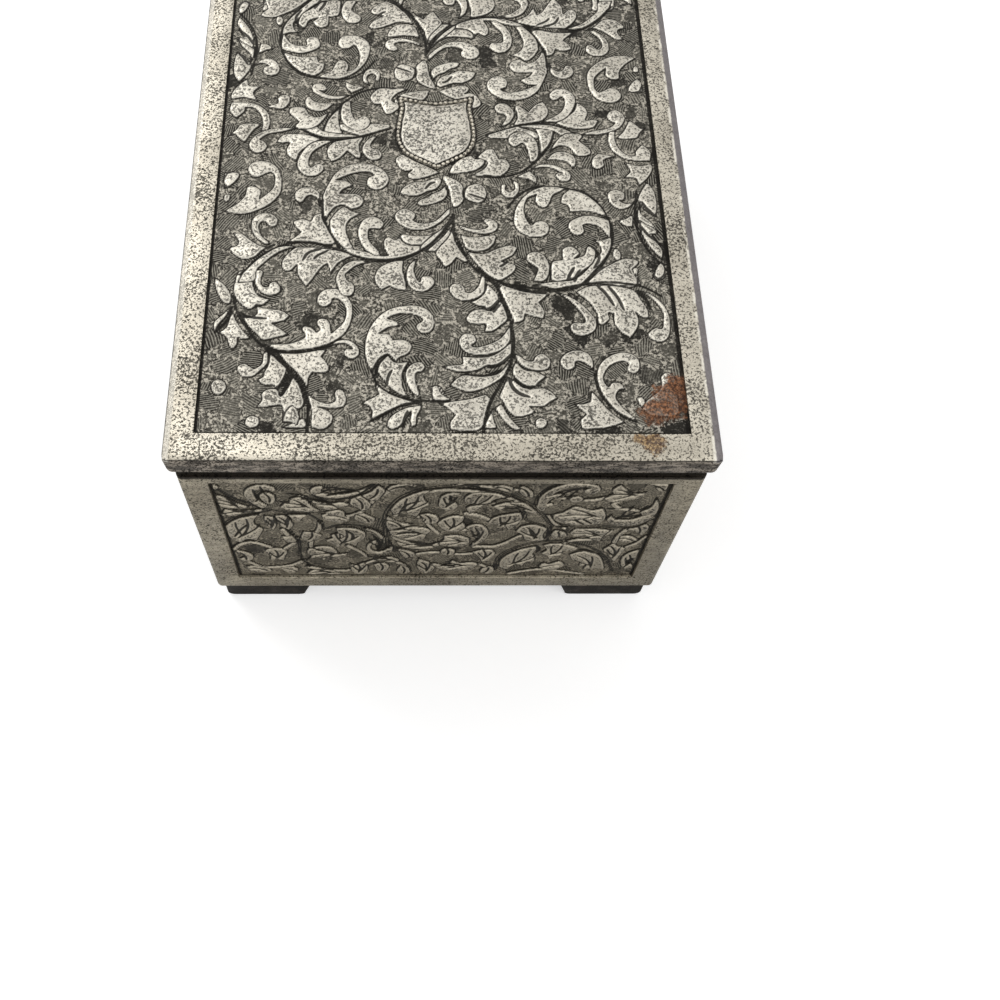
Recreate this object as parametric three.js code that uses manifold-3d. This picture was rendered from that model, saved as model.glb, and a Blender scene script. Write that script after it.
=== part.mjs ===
// Cast metal music box with bracket feet, a hinged lid and an eighteen-note movement.
// Millimetres, +Z up, +Y towards the hinge, +X to the right seen from the front.
import * as THREE from "three";
import { mergeVertices } from "three/addons/utils/BufferGeometryUtils.js";
import Module from "manifold-3d";

const wasm = await Module();
wasm.setup();

// Clearances shared by all pieces
const runClearance = 0.1;
const seatClearance = 0.05;
const looseClearance = 0.2;
const sideGap = 0.3;
const cutOverrun = 1;

// Case
const bodyWidth = 63.5;
const bodyLength = 100;
const bodyHeight = 36;
const wallThickness = 2.2;
const bodyCornerRadius = 0.8;
const panelSideBorder = 3.6;
const panelTopBorder = 3.3;
const panelBottomBorder = 3.1;
const panelDepth = 0.5;
const neckHeight = 1.7;
const neckInset = 0.35;

// Feet
const footHeight = 5.5;
const footLength = 13;
const footSlant = 1.5;
const footThickness = 3;
const footInset = 0.9;
const footCornerRadius = 1;

// Base plate and its screws
const basePlateThickness = 1.2;
const basePlateRecess = 0.4;
const bossRadius = 3;
const bossHeight = 4;
const screwShankRadius = 1;
const screwHeadRadius = 1.9;
const screwHeadHeight = 0.9;
const screwSlotWidth = 0.5;
const screwSlotDepth = 0.4;

// Tray and partition
const partitionThickness = 1.6;
const partitionTopDrop = 4.4;
const ribWidth = 1.2;
const ribDepth = 1.2;
const liningThickness = 1.2;
const trayFloorThickness = 1.6;

// Lid
const lidThickness = 3.1;
const lidSideOverhang = 0.8;
const lidEndOverhang = 0.3;
const lidSeam = 0.2;
const lidCornerRadius = 0.5;
const lidEdgeRadius = 0.5;
const lidBorder = 3.5;
const lidPanelDepth = 0.45;
const lidRimWidth = 3;
const lidHollowDepth = 1.3;
const lidLiningThickness = 1;
const shieldHalfWidth = 5.4;
const shieldHeight = 13;
const shieldRise = 0.3;
const shieldBandWidth = 0.8;

// Hinge
const hingeLength = 40;
const knuckleCount = 5;
const knuckleRadius = 1.3;
const hingePinRadius = 0.6;
const hingePlateThickness = 0.9;
const bodyPlateHeight = 1.5;
const lidPlateHeight = 1;

// Movement bed
const bedSideGap = 2.05;
const bedEndGap = 1.5;
const bedThickness = 2;
const bedCornerRadius = 2;
const bedScrewInset = 8;

// Barrel, crown teeth and winding work
const barrelInset = 1;
const drumStep = 0.4;
const barrelHeight = 8;
const barrelWall = 1;
const crownFaceInside = 0.9;
const crownFaceOutside = 0.8;
const crownRingHeight = 1;
const crownTeeth = 36;
const crownModule = 0.6;
const coverThickness = 0.7;
const windingArborRadius = 1.5;
const arborTopRise = 0.8;
const ratchetTeeth = 18;
const ratchetRadius = 4.2;
const ratchetToothDepth = 0.7;
const ratchetThickness = 1;
const clickReach = 4.2;
const clickWidth = 1.8;
const clickPivotRadius = 0.6;
const springTurns = 5;
const springThickness = 0.4;
const springInnerRadius = 2.4;
const smallHeadRadius = 1.4;
const smallShankRadius = 0.8;
const keyHubRadius = 2.6;
const keyHalfSpan = 7.2;
const keyWingThickness = 1.4;
const keyGroundClearance = 1.4;

// Cylinder train
const cylinderRadius = 6.5;
const cylinderWall = 0.8;
const cylinderArborRadius = 0.9;
const cylinderPinionTeeth = 12;
const pinHeight = 0.8;
const pinBaseRadius = 0.2;
const pinTipRadius = 0.13;
const pinRoot = 0.3;
const noteMargin = 0.8;
const notePitch = 0.94;
const tuneSteps = 48;
const wheelTeeth = 36;
const wheelModule = 0.5;
const wheelThickness = 1;
const bracketThickness = 1.2;
const bracketHeadRadius = 2.6;
const bracketFootWidth = 16;
const bracketFootThickness = 1.2;
const cylinderBackOffset = 3;

// Comb
const combThickness = 1.2;
const combToothThickness = 0.6;
const combTipGap = 0.2;
const combSideMargin = 1;
const combFrontMargin = 1.2;
const combBassLength = 9.5;
const combTrebleLength = 6;
const combSlit = 0.28;
const combTipLength = 1.3;
const combTipWidth = 0.35;
const combBaseDepth = 4.4;
const combSpineDepth = 4.3;
const combBaseFlare = 1.2;
const combWeightShare = 0.45;
const combScrewPitch = 7;
const combWeightHeight = 1.2;
const combWeightLength = 2;

// Governor
const governorPinionTeeth = 9;
const governorArborRadius = 0.6;
const wormWheelTeeth = 16;
const wormWheelThickness = 1.2;
const wormRootRadius = 0.95;
const wormPitchRadius = 1.3;
const wormTipRadius = 1.6;
const wormLength = 6;
const wormShaftRadius = 0.6;
const wormEndGap = 3.8;
const cockWallThickness = 1.1;
const cockFootThickness = 1.2;
const cockFootBack = 7.2;
const cockFootFront = 8.2;
const cockCheekFront = 1.9;
const cockCheekBack = 3.4;
const cockArmThickness = 1.2;
const cockCheekMargin = 2.4;
const fanRadius = 3.9;
const fanHeight = 5;
const fanBladeThickness = 0.4;
const fanHubRadius = 1.1;
const fanBlades = 2;

// Stop wire that the closed lid holds down
const stopWireRadius = 0.5;
const stopWireButtonRadius = 1.2;
const stopWireButtonHeight = 0.8;
const stopGuideRadius = 1.3;
const stopGuideHeight = 10;
const stopGuideSideStep = 1.8;
const stopGuideFrontStep = 5.4;
const stopFingerDrop = 2;
const stopFingerRadius = 0.35;

// Tooth proportions
const addendumShare = 0.75;
const dedendumShare = 1.05;
const toothShare = 0.4;
const tipShare = 0.5;
const rootShare = 1.25;
const wormToothShare = 0.33;
const threadFootShare = 0.8;
const keyCornerShare = 0.8;

// Facets
const fineSides = 24;
const coarseSides = 12;
const screwSides = 8;

// Levels worked out from the values above
const bodyBottom = footHeight;
const bodyTop = bodyBottom + bodyHeight;
const lidBottom = bodyTop + lidSeam;
const lidTop = lidBottom + lidThickness;
const cavityHalfWidth = bodyWidth / 2 - wallThickness;
const cavityHalfLength = bodyLength / 2 - wallThickness;
const plateBottom = bodyBottom + basePlateRecess;
const plateTop = plateBottom + basePlateThickness;
const bedLength = 2 * (cavityHalfWidth - bedSideGap);
const combReach = combBassLength + combSpineDepth;
const cylinderReach = cylinderRadius + pinHeight + combTipGap;
const bedWidth = 2 * (combFrontMargin + combReach + cylinderReach - cylinderBackOffset);
const bayLength = bedWidth + 2 * bedEndGap;
const partitionBack = cavityHalfLength - bayLength;
const partitionFront = partitionBack - partitionThickness;
const partitionTop = bodyTop - partitionTopDrop;
const lidHalfWidth = bodyWidth / 2 + lidSideOverhang;
const lidHalfLength = bodyLength / 2 + lidEndOverhang;
const hingeAxisY = lidHalfLength + knuckleRadius + looseClearance;
const hingeAxisZ = bodyTop + lidSeam / 2;
const bedCentreY = (partitionBack + cavityHalfLength) / 2;

// Turns a closed three.js geometry into a solid, leaving out triangles of no area
function solidOf(geometry) {
  const bare = geometry.clone();
  bare.deleteAttribute("normal");
  bare.deleteAttribute("uv");
  const welded = mergeVertices(bare);
  const corners = welded.index.array;
  const kept = [];
  for (let i = 0; i < corners.length; i += 3) {
    const [a, b, c] = [corners[i], corners[i + 1], corners[i + 2]];
    if (a !== b && b !== c && c !== a) kept.push(a, b, c);
  }
  const vertProperties = new Float32Array(welded.attributes.position.array);
  const triVerts = Uint32Array.from(kept);
  return new wasm.Manifold(new wasm.Mesh({ numProp: 3, vertProperties, triVerts }));
}

function geometryOf(solid) {
  const mesh = solid.getMesh();
  const geometry = new THREE.BufferGeometry();
  geometry.setAttribute("position", new THREE.BufferAttribute(mesh.vertProperties, 3));
  geometry.setIndex(new THREE.BufferAttribute(mesh.triVerts, 1));
  geometry.computeVertexNormals();
  return geometry;
}

function joined(...geometries) {
  return geometryOf(geometries.map(solidOf).reduce((whole, piece) => whole.add(piece)));
}

function carved(geometry, ...cutters) {
  const whole = solidOf(geometry);
  return geometryOf(cutters.map(solidOf).reduce((left, cutter) => left.subtract(cutter), whole));
}

function shared(geometry, other) {
  return geometryOf(solidOf(geometry).intersect(solidOf(other)));
}

const between = (one, other) => [Math.min(one, other), Math.max(one, other)];

// Block between two opposite corners
function block([xLow, xHigh], [yLow, yHigh], [zLow, zHigh]) {
  const geometry = new THREE.BoxGeometry(xHigh - xLow, yHigh - yLow, zHigh - zLow);
  return geometry.translate((xLow + xHigh) / 2, (yLow + yHigh) / 2, (zLow + zHigh) / 2);
}

// Upright rod between two levels
function rod(radius, [low, high], [x, y] = [0, 0], sides = fineSides) {
  const geometry = new THREE.CylinderGeometry(radius, radius, high - low, sides);
  return geometry.rotateX(Math.PI / 2).translate(x, y, (low + high) / 2);
}

// Rod along X between two places
function crossRod(radius, [left, right], [y, z] = [0, 0], sides = fineSides) {
  const geometry = new THREE.CylinderGeometry(radius, radius, right - left, sides);
  return geometry.rotateZ(Math.PI / 2).rotateX(Math.PI / 2).translate((left + right) / 2, y, z);
}

// Profile of radius and height turned round the upright axis
function turned(profile, sides = fineSides) {
  const points = profile.map(([radius, height]) => new THREE.Vector2(radius, height));
  return new THREE.LatheGeometry(points, sides).rotateX(Math.PI / 2);
}

// The same profile turned round the X axis
function turnedAlongX(profile, sides = fineSides) {
  return turned(profile, sides).rotateY(Math.PI / 2);
}

function outline(points) {
  return new THREE.Shape(points.map(([x, y]) => new THREE.Vector2(x, y)));
}

// Outline in the XY plane drawn out upwards between two levels
function slab(shape, [low, high], curveSegments = coarseSides / 2) {
  const settings = { depth: high - low, bevelEnabled: false, curveSegments };
  return new THREE.ExtrudeGeometry(shape, settings).translate(0, 0, low);
}

// Outline of Y and Z drawn out along X
function crossSlab(shape, [left, right], curveSegments = coarseSides / 2) {
  return slab(shape, [left, right], curveSegments).rotateY(Math.PI / 2).rotateX(Math.PI / 2);
}

// Outline of X and Z drawn out along Y
function depthSlab(shape, [front, back], curveSegments = coarseSides / 2) {
  return slab(shape, [-back, -front], curveSegments).rotateX(Math.PI / 2);
}

function roundedRectangle(halfWidth, halfLength, radius) {
  const shape = new THREE.Shape();
  shape.moveTo(-halfWidth + radius, -halfLength);
  shape.lineTo(halfWidth - radius, -halfLength);
  shape.absarc(halfWidth - radius, -halfLength + radius, radius, -Math.PI / 2, 0);
  shape.lineTo(halfWidth, halfLength - radius);
  shape.absarc(halfWidth - radius, halfLength - radius, radius, 0, Math.PI / 2);
  shape.lineTo(-halfWidth + radius, halfLength);
  shape.absarc(-halfWidth + radius, halfLength - radius, radius, Math.PI / 2, Math.PI);
  shape.lineTo(-halfWidth, -halfLength + radius);
  shape.absarc(-halfWidth + radius, -halfLength + radius, radius, Math.PI, 1.5 * Math.PI);
  return shape;
}

function material(color, roughness, metalness) {
  return new THREE.MeshStandardMaterial({ color, roughness, metalness });
}

function addPiece(group, name, geometry, look) {
  const mesh = new THREE.Mesh(geometry, look);
  mesh.name = name;
  group.add(mesh);
}

// Cheese-head screw whose head stands on z = 0 and whose shank goes down, slotted
function screw(shankLength, headRadius = screwHeadRadius, shankRadius = screwShankRadius) {
  const head = rod(headRadius, [0, screwHeadHeight], [0, 0], screwSides);
  const shank = rod(shankRadius, [-shankLength, screwSlotDepth], [0, 0], screwSides);
  const slot = block(
    [-headRadius - cutOverrun, headRadius + cutOverrun],
    [-screwSlotWidth / 2, screwSlotWidth / 2],
    [screwHeadHeight - screwSlotDepth, screwHeadHeight + cutOverrun],
  );
  return carved(joined(head, shank), slot);
}

// One numbered screw at each place, its head on the given level
function addScrews(group, name, places, level, shankLength, pointsUp = false, radii = []) {
  places.forEach(([x, y], index) => {
    const geometry = screw(shankLength, ...radii);
    if (pointsUp) geometry.rotateX(Math.PI);
    addPiece(group, `${name}_${index + 1}`, geometry.translate(x, y, level), screwSteel);
  });
}

function screwHoles(places, levels, radius = screwShankRadius) {
  return places.map((place) => rod(radius + runClearance, levels, place, screwSides));
}

const screwSteel = material(0xa3a5a6, 0.35, 0.95);
const silver = material(0xb5afa0, 0.35, 0.9);
const silverDark = material(0x8d887b, 0.45, 0.9);
const footMetal = material(0x3d342b, 0.55, 0.7);
const brass = material(0xb08d4a, 0.35, 0.9);
const steel = material(0x9a9c9e, 0.3, 0.95);
const springSteel = material(0x5f6672, 0.35, 0.9);
const castZinc = material(0x84868a, 0.5, 0.8);
const velvet = material(0x6e1626, 0.95, 0);
const board = material(0x5a3a26, 0.8, 0);

const musicBox = new THREE.Group();
const movement = new THREE.Group();

// Screw places in the base plate, clear of the feet, on bosses in the four corners of the case
const bossInset = footInset + footThickness + screwHeadRadius + sideGap;
const bossX = bodyWidth / 2 - bossInset;
const bossY = bodyLength / 2 - bossInset;
const bossPlaces = [[-bossX, -bossY], [bossX, -bossY], [-bossX, bossY], [bossX, bossY]];
const baseScrewLength = basePlateThickness + bossHeight / 2;

// Sunk field on one outside face of the case, as a block that is cut away
function faceField(halfSpan, faceAt) {
  const levels = [bodyBottom + panelBottomBorder, bodyTop - panelTopBorder];
  const across = [-halfSpan + panelSideBorder, halfSpan - panelSideBorder];
  return block(across, [faceAt - panelDepth, faceAt + cutOverrun], levels);
}

// Boss in one corner: a pillar round the screw, filled out to both walls and grown by a margin
function cornerBoss([x, y], levels, margin = 0) {
  const [sideX, sideY] = [Math.sign(x), Math.sign(y)];
  const radius = bossRadius + margin;
  const wallX = sideX * (cavityHalfWidth + seatClearance);
  const wallY = sideY * (cavityHalfLength + seatClearance);
  return joined(
    rod(radius, levels, [x, y], coarseSides),
    block(between(x - sideX * radius, wallX), between(y, wallY), levels),
    block(between(x, wallX), between(y - sideY * radius, wallY), levels),
  );
}

function ribPair(side) {
  const span = between(side * (cavityHalfWidth + seatClearance), side * (cavityHalfWidth - ribDepth));
  const levels = [plateTop, partitionTop];
  const frontRib = [partitionFront - looseClearance - ribWidth, partitionFront - looseClearance];
  const backRib = [partitionBack + looseClearance, partitionBack + looseClearance + ribWidth];
  return [block(span, frontRib, levels), block(span, backRib, levels)];
}

function boxBody() {
  const plan = roundedRectangle(bodyWidth / 2, bodyLength / 2, bodyCornerRadius);
  const outside = slab(plan, [bodyBottom, bodyTop], 4);
  const cavity = block(
    [-cavityHalfWidth, cavityHalfWidth],
    [-cavityHalfLength, cavityHalfLength],
    [bodyBottom - cutOverrun, bodyTop + cutOverrun],
  );
  const fields = [
    faceField(bodyWidth / 2, bodyLength / 2),
    faceField(bodyWidth / 2, bodyLength / 2).rotateZ(Math.PI),
    faceField(bodyLength / 2, bodyWidth / 2).rotateZ(Math.PI / 2),
    faceField(bodyLength / 2, bodyWidth / 2).rotateZ(-Math.PI / 2),
  ];
  const neckPlan = roundedRectangle(
    bodyWidth / 2 - neckInset,
    bodyLength / 2 - neckInset,
    bodyCornerRadius - neckInset,
  );
  const neckBand = carved(
    block(
      [-bodyWidth / 2 - cutOverrun, bodyWidth / 2 + cutOverrun],
      [-bodyLength / 2 - cutOverrun, bodyLength / 2 + cutOverrun],
      [bodyTop - neckHeight, bodyTop + cutOverrun],
    ),
    slab(neckPlan, [bodyTop - neckHeight - cutOverrun, bodyTop + 2 * cutOverrun], 4),
  );
  const walls = carved(outside, cavity, ...fields, neckBand);
  const bosses = bossPlaces.map((place) => cornerBoss(place, [plateTop, plateTop + bossHeight]));
  const holes = screwHoles(bossPlaces, [plateTop - cutOverrun, plateTop + bossHeight - screwHeadHeight]);
  return carved(joined(walls, ...bosses, ...ribPair(-1), ...ribPair(1)), ...holes);
}

// One corner foot with its outer corner at the origin and its legs along +X and +Y
function cornerFoot() {
  const leg = new THREE.Shape();
  leg.moveTo(0, footCornerRadius);
  leg.absarc(footCornerRadius, footCornerRadius, footCornerRadius, Math.PI, 1.5 * Math.PI);
  leg.lineTo(footLength - footSlant - footCornerRadius, 0);
  leg.quadraticCurveTo(footLength - footSlant, 0, footLength - footSlant, footCornerRadius);
  leg.lineTo(footLength, footHeight);
  leg.lineTo(0, footHeight);
  leg.closePath();
  const frontLeg = depthSlab(leg, [0, footThickness], 3);
  const sideLeg = crossSlab(leg, [0, footThickness], 3);
  return joined(frontLeg, sideLeg);
}

// The same foot carried to the corner given by the signs of X and Y
function placedFoot(sideX, sideY) {
  const quarterTurns = { "-1,-1": 0, "1,-1": 1, "1,1": 2, "-1,1": 3 }[`${sideX},${sideY}`];
  const foot = cornerFoot().rotateZ(quarterTurns * Math.PI / 2);
  return foot.translate(sideX * (bodyWidth / 2 - footInset), sideY * (bodyLength / 2 - footInset), 0);
}

// Movement screws come up through the base plate into the movement bed
const bedScrewX = bedLength / 2 - bedScrewInset;
const bedScrewY = bedWidth / 2 - bedScrewInset;
const bedScrewPlaces = [[-bedScrewX, -bedScrewY], [-bedScrewX, bedScrewY], [bedScrewX, bedScrewY]];
const crownPitchRadius = crownTeeth * crownModule / 2;
const crownInnerRadius = crownPitchRadius - crownFaceInside;
const crownOuterRadius = crownPitchRadius + crownFaceOutside;
const barrelX = -bedLength / 2 + crownOuterRadius + barrelInset;
const trainY = cylinderBackOffset;

function basePlate() {
  const sheet = block(
    [-cavityHalfWidth + looseClearance, cavityHalfWidth - looseClearance],
    [-cavityHalfLength + looseClearance, cavityHalfLength - looseClearance],
    [plateBottom, plateTop],
  );
  const through = [plateBottom - cutOverrun, plateTop + cutOverrun];
  const movementPlaces = bedScrewPlaces.map(([x, y]) => [x, y + bedCentreY]);
  const keyHole = rod(keyHubRadius, through, [barrelX, bedCentreY + trainY]);
  return carved(sheet, keyHole, ...screwHoles([...bossPlaces, ...movementPlaces], through));
}

function partitionWall() {
  return block(
    [-cavityHalfWidth + looseClearance, cavityHalfWidth - looseClearance],
    [partitionFront, partitionBack],
    [plateTop, partitionTop],
  );
}

// Cloth-covered tray: a floor on the corner bosses and four thin walls
const trayFloorLevel = plateTop + bossHeight;
const trayHalfWidth = cavityHalfWidth - looseClearance;
const trayFront = -cavityHalfLength + looseClearance;
const trayBack = partitionFront - looseClearance;

function trayLining() {
  const levels = [trayFloorLevel, partitionTop];
  const outside = block([-trayHalfWidth, trayHalfWidth], [trayFront, trayBack], levels);
  const hollow = block(
    [-trayHalfWidth + liningThickness, trayHalfWidth - liningThickness],
    [trayFront + liningThickness, trayBack - liningThickness],
    [trayFloorLevel + trayFloorThickness, levels[1] + cutOverrun],
  );
  const ribRoom = [-1, 1].map((side) => {
    return block(
      between(side * (trayHalfWidth - ribDepth), side * (trayHalfWidth + cutOverrun)),
      [trayBack - ribWidth - looseClearance, trayBack + cutOverrun],
      [trayFloorLevel - cutOverrun, levels[1] + cutOverrun],
    );
  });
  return carved(outside, hollow, ...ribRoom);
}

addPiece(musicBox, "box_body", boxBody(), silver);
addPiece(musicBox, "foot_front_left", placedFoot(-1, -1), footMetal);
addPiece(musicBox, "foot_front_right", placedFoot(1, -1), footMetal);
addPiece(musicBox, "foot_rear_right", placedFoot(1, 1), footMetal);
addPiece(musicBox, "foot_rear_left", placedFoot(-1, 1), footMetal);
addPiece(musicBox, "base_plate", basePlate(), silverDark);
addScrews(musicBox, "base_screw", bossPlaces, plateBottom, baseScrewLength, true);
addPiece(musicBox, "partition", partitionWall(), board);
addPiece(musicBox, "tray_lining", trayLining(), velvet);

// Shield outline with its point towards the front, round the middle of the lid
function shieldOutline(inset) {
  const halfWidth = shieldHalfWidth - inset;
  const tip = -shieldHeight / 2 + inset;
  const top = shieldHeight / 2 - inset;
  const shoulder = tip + shieldHeight / 4;
  const shape = new THREE.Shape();
  shape.moveTo(0, tip);
  shape.quadraticCurveTo(halfWidth / 2, shoulder, halfWidth, shoulder + inset / 2);
  shape.quadraticCurveTo(halfWidth + inset, 0, halfWidth, top - inset);
  shape.quadraticCurveTo(halfWidth / 2, top - shieldBandWidth, 0, top);
  shape.quadraticCurveTo(-halfWidth / 2, top - shieldBandWidth, -halfWidth, top - inset);
  shape.quadraticCurveTo(-halfWidth - inset, 0, -halfWidth, shoulder + inset / 2);
  shape.quadraticCurveTo(-halfWidth / 2, shoulder, 0, tip);
  return shape;
}

// Cast lid: raised frame round a sunk field with a shield, hollow underneath
function lidShell() {
  const edge = roundedRectangle(
    lidHalfWidth - lidEdgeRadius,
    lidHalfLength - lidEdgeRadius,
    lidCornerRadius,
  );
  const softened = new THREE.ExtrudeGeometry(edge, {
    depth: lidThickness,
    bevelThickness: lidEdgeRadius,
    bevelSize: lidEdgeRadius,
    bevelSegments: 2,
    curveSegments: 3,
  }).translate(0, 0, lidTop - lidEdgeRadius - lidThickness);
  const level = block(
    [-lidHalfWidth - cutOverrun, lidHalfWidth + cutOverrun],
    [-lidHalfLength - cutOverrun, lidHalfLength + cutOverrun],
    [lidBottom, lidTop + cutOverrun],
  );
  const field = block(
    [-lidHalfWidth + lidBorder, lidHalfWidth - lidBorder],
    [-lidHalfLength + lidBorder, lidHalfLength - lidBorder],
    [lidTop - lidPanelDepth, lidTop + cutOverrun],
  );
  const hollow = block(
    [-lidHalfWidth + lidRimWidth, lidHalfWidth - lidRimWidth],
    [-lidHalfLength + lidRimWidth, lidHalfLength - lidRimWidth],
    [lidBottom - cutOverrun, lidBottom + lidHollowDepth],
  );
  const shieldLevel = lidTop - lidPanelDepth;
  const shield = slab(shieldOutline(0), [shieldLevel - lidPanelDepth, shieldLevel + shieldRise], 4);
  const faceLevels = [shieldLevel + shieldRise / 2, lidTop + cutOverrun];
  const shieldFace = slab(shieldOutline(shieldBandWidth), faceLevels, 4);
  const plate = carved(shared(softened, level), field, hollow);
  return carved(joined(plate, shield), shieldFace);
}

const lidLiningBottom = lidBottom + lidHollowDepth - lidLiningThickness;

function lidLining() {
  const halfWidth = lidHalfWidth - lidRimWidth - looseClearance;
  const halfLength = lidHalfLength - lidRimWidth - looseClearance;
  const levels = [lidLiningBottom, lidBottom + lidHollowDepth];
  return block([-halfWidth, halfWidth], [-halfLength, halfLength], levels);
}

addPiece(musicBox, "lid_shell", lidShell(), silver);
addPiece(musicBox, "lid_lining", lidLining(), velvet);

// Hinge across the back: body knuckles at the ends and the middle, lid knuckles between
const knucklePitch = hingeLength / knuckleCount;

// One half of the hinge: a plate on the face at faceY, on the side of the axis given by direction
function hingeHalf(firstKnuckle, faceY, plateHeight, direction) {
  const farEdge = hingeAxisZ + direction * (knuckleRadius + looseClearance + plateHeight);
  const plateEdge = hingeAxisZ + direction * (knuckleRadius + looseClearance);
  const across = [-hingeLength / 2, hingeLength / 2];
  const plateDepth = [faceY, faceY + hingePlateThickness];
  const pieces = [block(across, plateDepth, between(plateEdge, farEdge))];
  for (let i = firstKnuckle; i < knuckleCount; i += 2) {
    const left = -hingeLength / 2 + i * knucklePitch;
    const ends = [left + looseClearance / 2, left + knucklePitch - looseClearance / 2];
    pieces.push(crossRod(knuckleRadius, ends, [hingeAxisY, hingeAxisZ], coarseSides));
    pieces.push(block(ends, plateDepth, between(hingeAxisZ, farEdge)));
    const webEnd = hingeAxisZ + direction * knuckleRadius;
    pieces.push(block(ends, [faceY, hingeAxisY], between(hingeAxisZ, webEnd)));
  }
  const bore = crossRod(
    hingePinRadius + runClearance,
    [-hingeLength / 2 - cutOverrun, hingeLength / 2 + cutOverrun],
    [hingeAxisY, hingeAxisZ],
    coarseSides,
  );
  return carved(joined(...pieces), bore);
}

const hingePinSpan = [-hingeLength / 2, hingeLength / 2];
const hingePin = crossRod(hingePinRadius, hingePinSpan, [hingeAxisY, hingeAxisZ], coarseSides);
const bodyKnuckles = hingeHalf(0, bodyLength / 2, bodyPlateHeight, -1);
const lidKnuckles = hingeHalf(1, lidHalfLength, lidPlateHeight, 1);

addPiece(musicBox, "body_hinge_knuckles", bodyKnuckles, silverDark);
addPiece(musicBox, "lid_hinge_knuckles", lidKnuckles, silverDark);
addPiece(musicBox, "hinge_pin", hingePin, steel);

// Levels and places of the movement, from the bottom of its bed up
const bedTop = bedThickness;
const ratchetLevels = [bedTop + sideGap, bedTop + sideGap + ratchetThickness];
const barrelLow = ratchetLevels[1] + sideGap;
const barrelHigh = barrelLow + barrelHeight;
const drumRadius = crownPitchRadius - drumStep;
const drumHollowRadius = drumRadius - barrelWall;
const crownAddendum = addendumShare * crownModule;
const crownDedendum = dedendumShare * crownModule;
const pinionPitchRadius = cylinderPinionTeeth * crownModule / 2;
const trainZ = barrelHigh + crownDedendum + pinionPitchRadius;
const leftBracketX = barrelX + crownOuterRadius + sideGap;
const leftBracket = [leftBracketX, leftBracketX + bracketThickness];
const wormX = bedLength / 2 - wormEndGap;
const rightBracketX = wormX - fanRadius - sideGap;
const rightBracket = [rightBracketX - bracketThickness, rightBracketX];
const wheelSpan = [rightBracket[0] - sideGap - wheelThickness, rightBracket[0] - sideGap];
const cylinderSpan = [leftBracket[1] + sideGap, wheelSpan[0]];
const cockFootTop = bedTop + cockFootThickness;
const wormWheelPitchRadius = wormWheelTeeth * wheelModule / 2;
const wormWheelTipRadius = wormWheelPitchRadius + addendumShare * wheelModule;
const trainDistance = (wheelTeeth + governorPinionTeeth) * wheelModule / 2;
const governorZ = cockFootTop + wormWheelTipRadius + sideGap;
const governorSlope = Math.asin((trainZ - governorZ) / trainDistance);
const governorY = trainY - Math.cos(governorSlope) * trainDistance;
const wormY = governorY - wormWheelPitchRadius - wormPitchRadius;
const wormLead = Math.PI * wheelModule;
const cockArmLow = governorZ + wormWheelTipRadius + sideGap;
const cockArm = [cockArmLow, cockArmLow + cockArmThickness];
const fanLevels = [cockArm[1] + sideGap, cockArm[1] + sideGap + fanHeight];

// Outline of a gear with straight-sided teeth, the first of them centred at the angle phase
function gearOutline(teeth, module, phase, thicknessShare = toothShare) {
  const pitchRadius = teeth * module / 2;
  const tipRadius = pitchRadius + addendumShare * module;
  const rootRadius = pitchRadius - dedendumShare * module;
  const pitchAngle = 2 * Math.PI / teeth;
  const halfTooth = pitchAngle * thicknessShare / 2;
  const points = [];
  for (let i = 0; i < teeth; i += 1) {
    const middle = phase + i * pitchAngle;
    const corners = [
      [rootRadius, -rootShare],
      [tipRadius, -tipShare],
      [tipRadius, tipShare],
      [rootRadius, rootShare],
    ];
    for (const [radius, share] of corners) {
      const angle = middle + share * halfTooth;
      points.push([radius * Math.cos(angle), radius * Math.sin(angle)]);
    }
  }
  return outline(points);
}

// Gear on an arbor along X
function crossGear(teeth, module, phase, span, [y, z], boreRadius, thicknessShare) {
  const blank = crossSlab(gearOutline(teeth, module, phase, thicknessShare), span);
  const bore = crossRod(boreRadius, [span[0] - cutOverrun, span[1] + cutOverrun], [0, 0], coarseSides);
  return carved(blank, bore).translate(0, y, z);
}

// Places of the screws that stand on the bed
const bracketScrewY = bracketFootWidth / 2 - smallHeadRadius - seatClearance;
const bracketFootLength = bracketThickness + 2 * (smallHeadRadius + sideGap);
const leftBracketFoot = [leftBracket[0], leftBracket[0] + bracketFootLength];
const rightBracketFoot = [rightBracket[1] - bracketFootLength, rightBracket[1]];
const leftScrewX = leftBracketFoot[1] - smallHeadRadius - seatClearance;
const rightScrewX = rightBracketFoot[0] + smallHeadRadius + seatClearance;
const bracketScrewPlaces = [leftScrewX, rightScrewX].flatMap((x) => [
  [x, trainY - bracketScrewY],
  [x, trainY + bracketScrewY],
]);
const cockSpan = [wormX - cockCheekMargin - cockWallThickness, wormX + cockCheekMargin + cockWallThickness];
const cockFootSpan = [wormY - cockFootFront, governorY + cockFootBack];
const cockScrewPlaces = [
  [wormX, cockFootSpan[1] - smallHeadRadius - sideGap],
  [cockSpan[1] - smallHeadRadius - sideGap, cockFootSpan[0] + smallHeadRadius + sideGap],
];
const standingScrewLength = bracketFootThickness + bedThickness - screwSlotDepth;

function movementBed() {
  const plate = slab(roundedRectangle(bedLength / 2, bedWidth / 2, bedCornerRadius), [0, bedThickness], 3);
  const through = [-cutOverrun, bedThickness + cutOverrun];
  const cornerNotches = bossPlaces.map((place) => {
    return cornerBoss(place, through, sideGap).translate(0, -bedCentreY, 0);
  });
  return carved(
    plate,
    ...cornerNotches,
    rod(windingArborRadius + runClearance, through, [barrelX, trainY]),
    ...screwHoles(bedScrewPlaces, through),
    ...screwHoles([...bracketScrewPlaces, ...cockScrewPlaces], through, smallShankRadius),
  );
}

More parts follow.
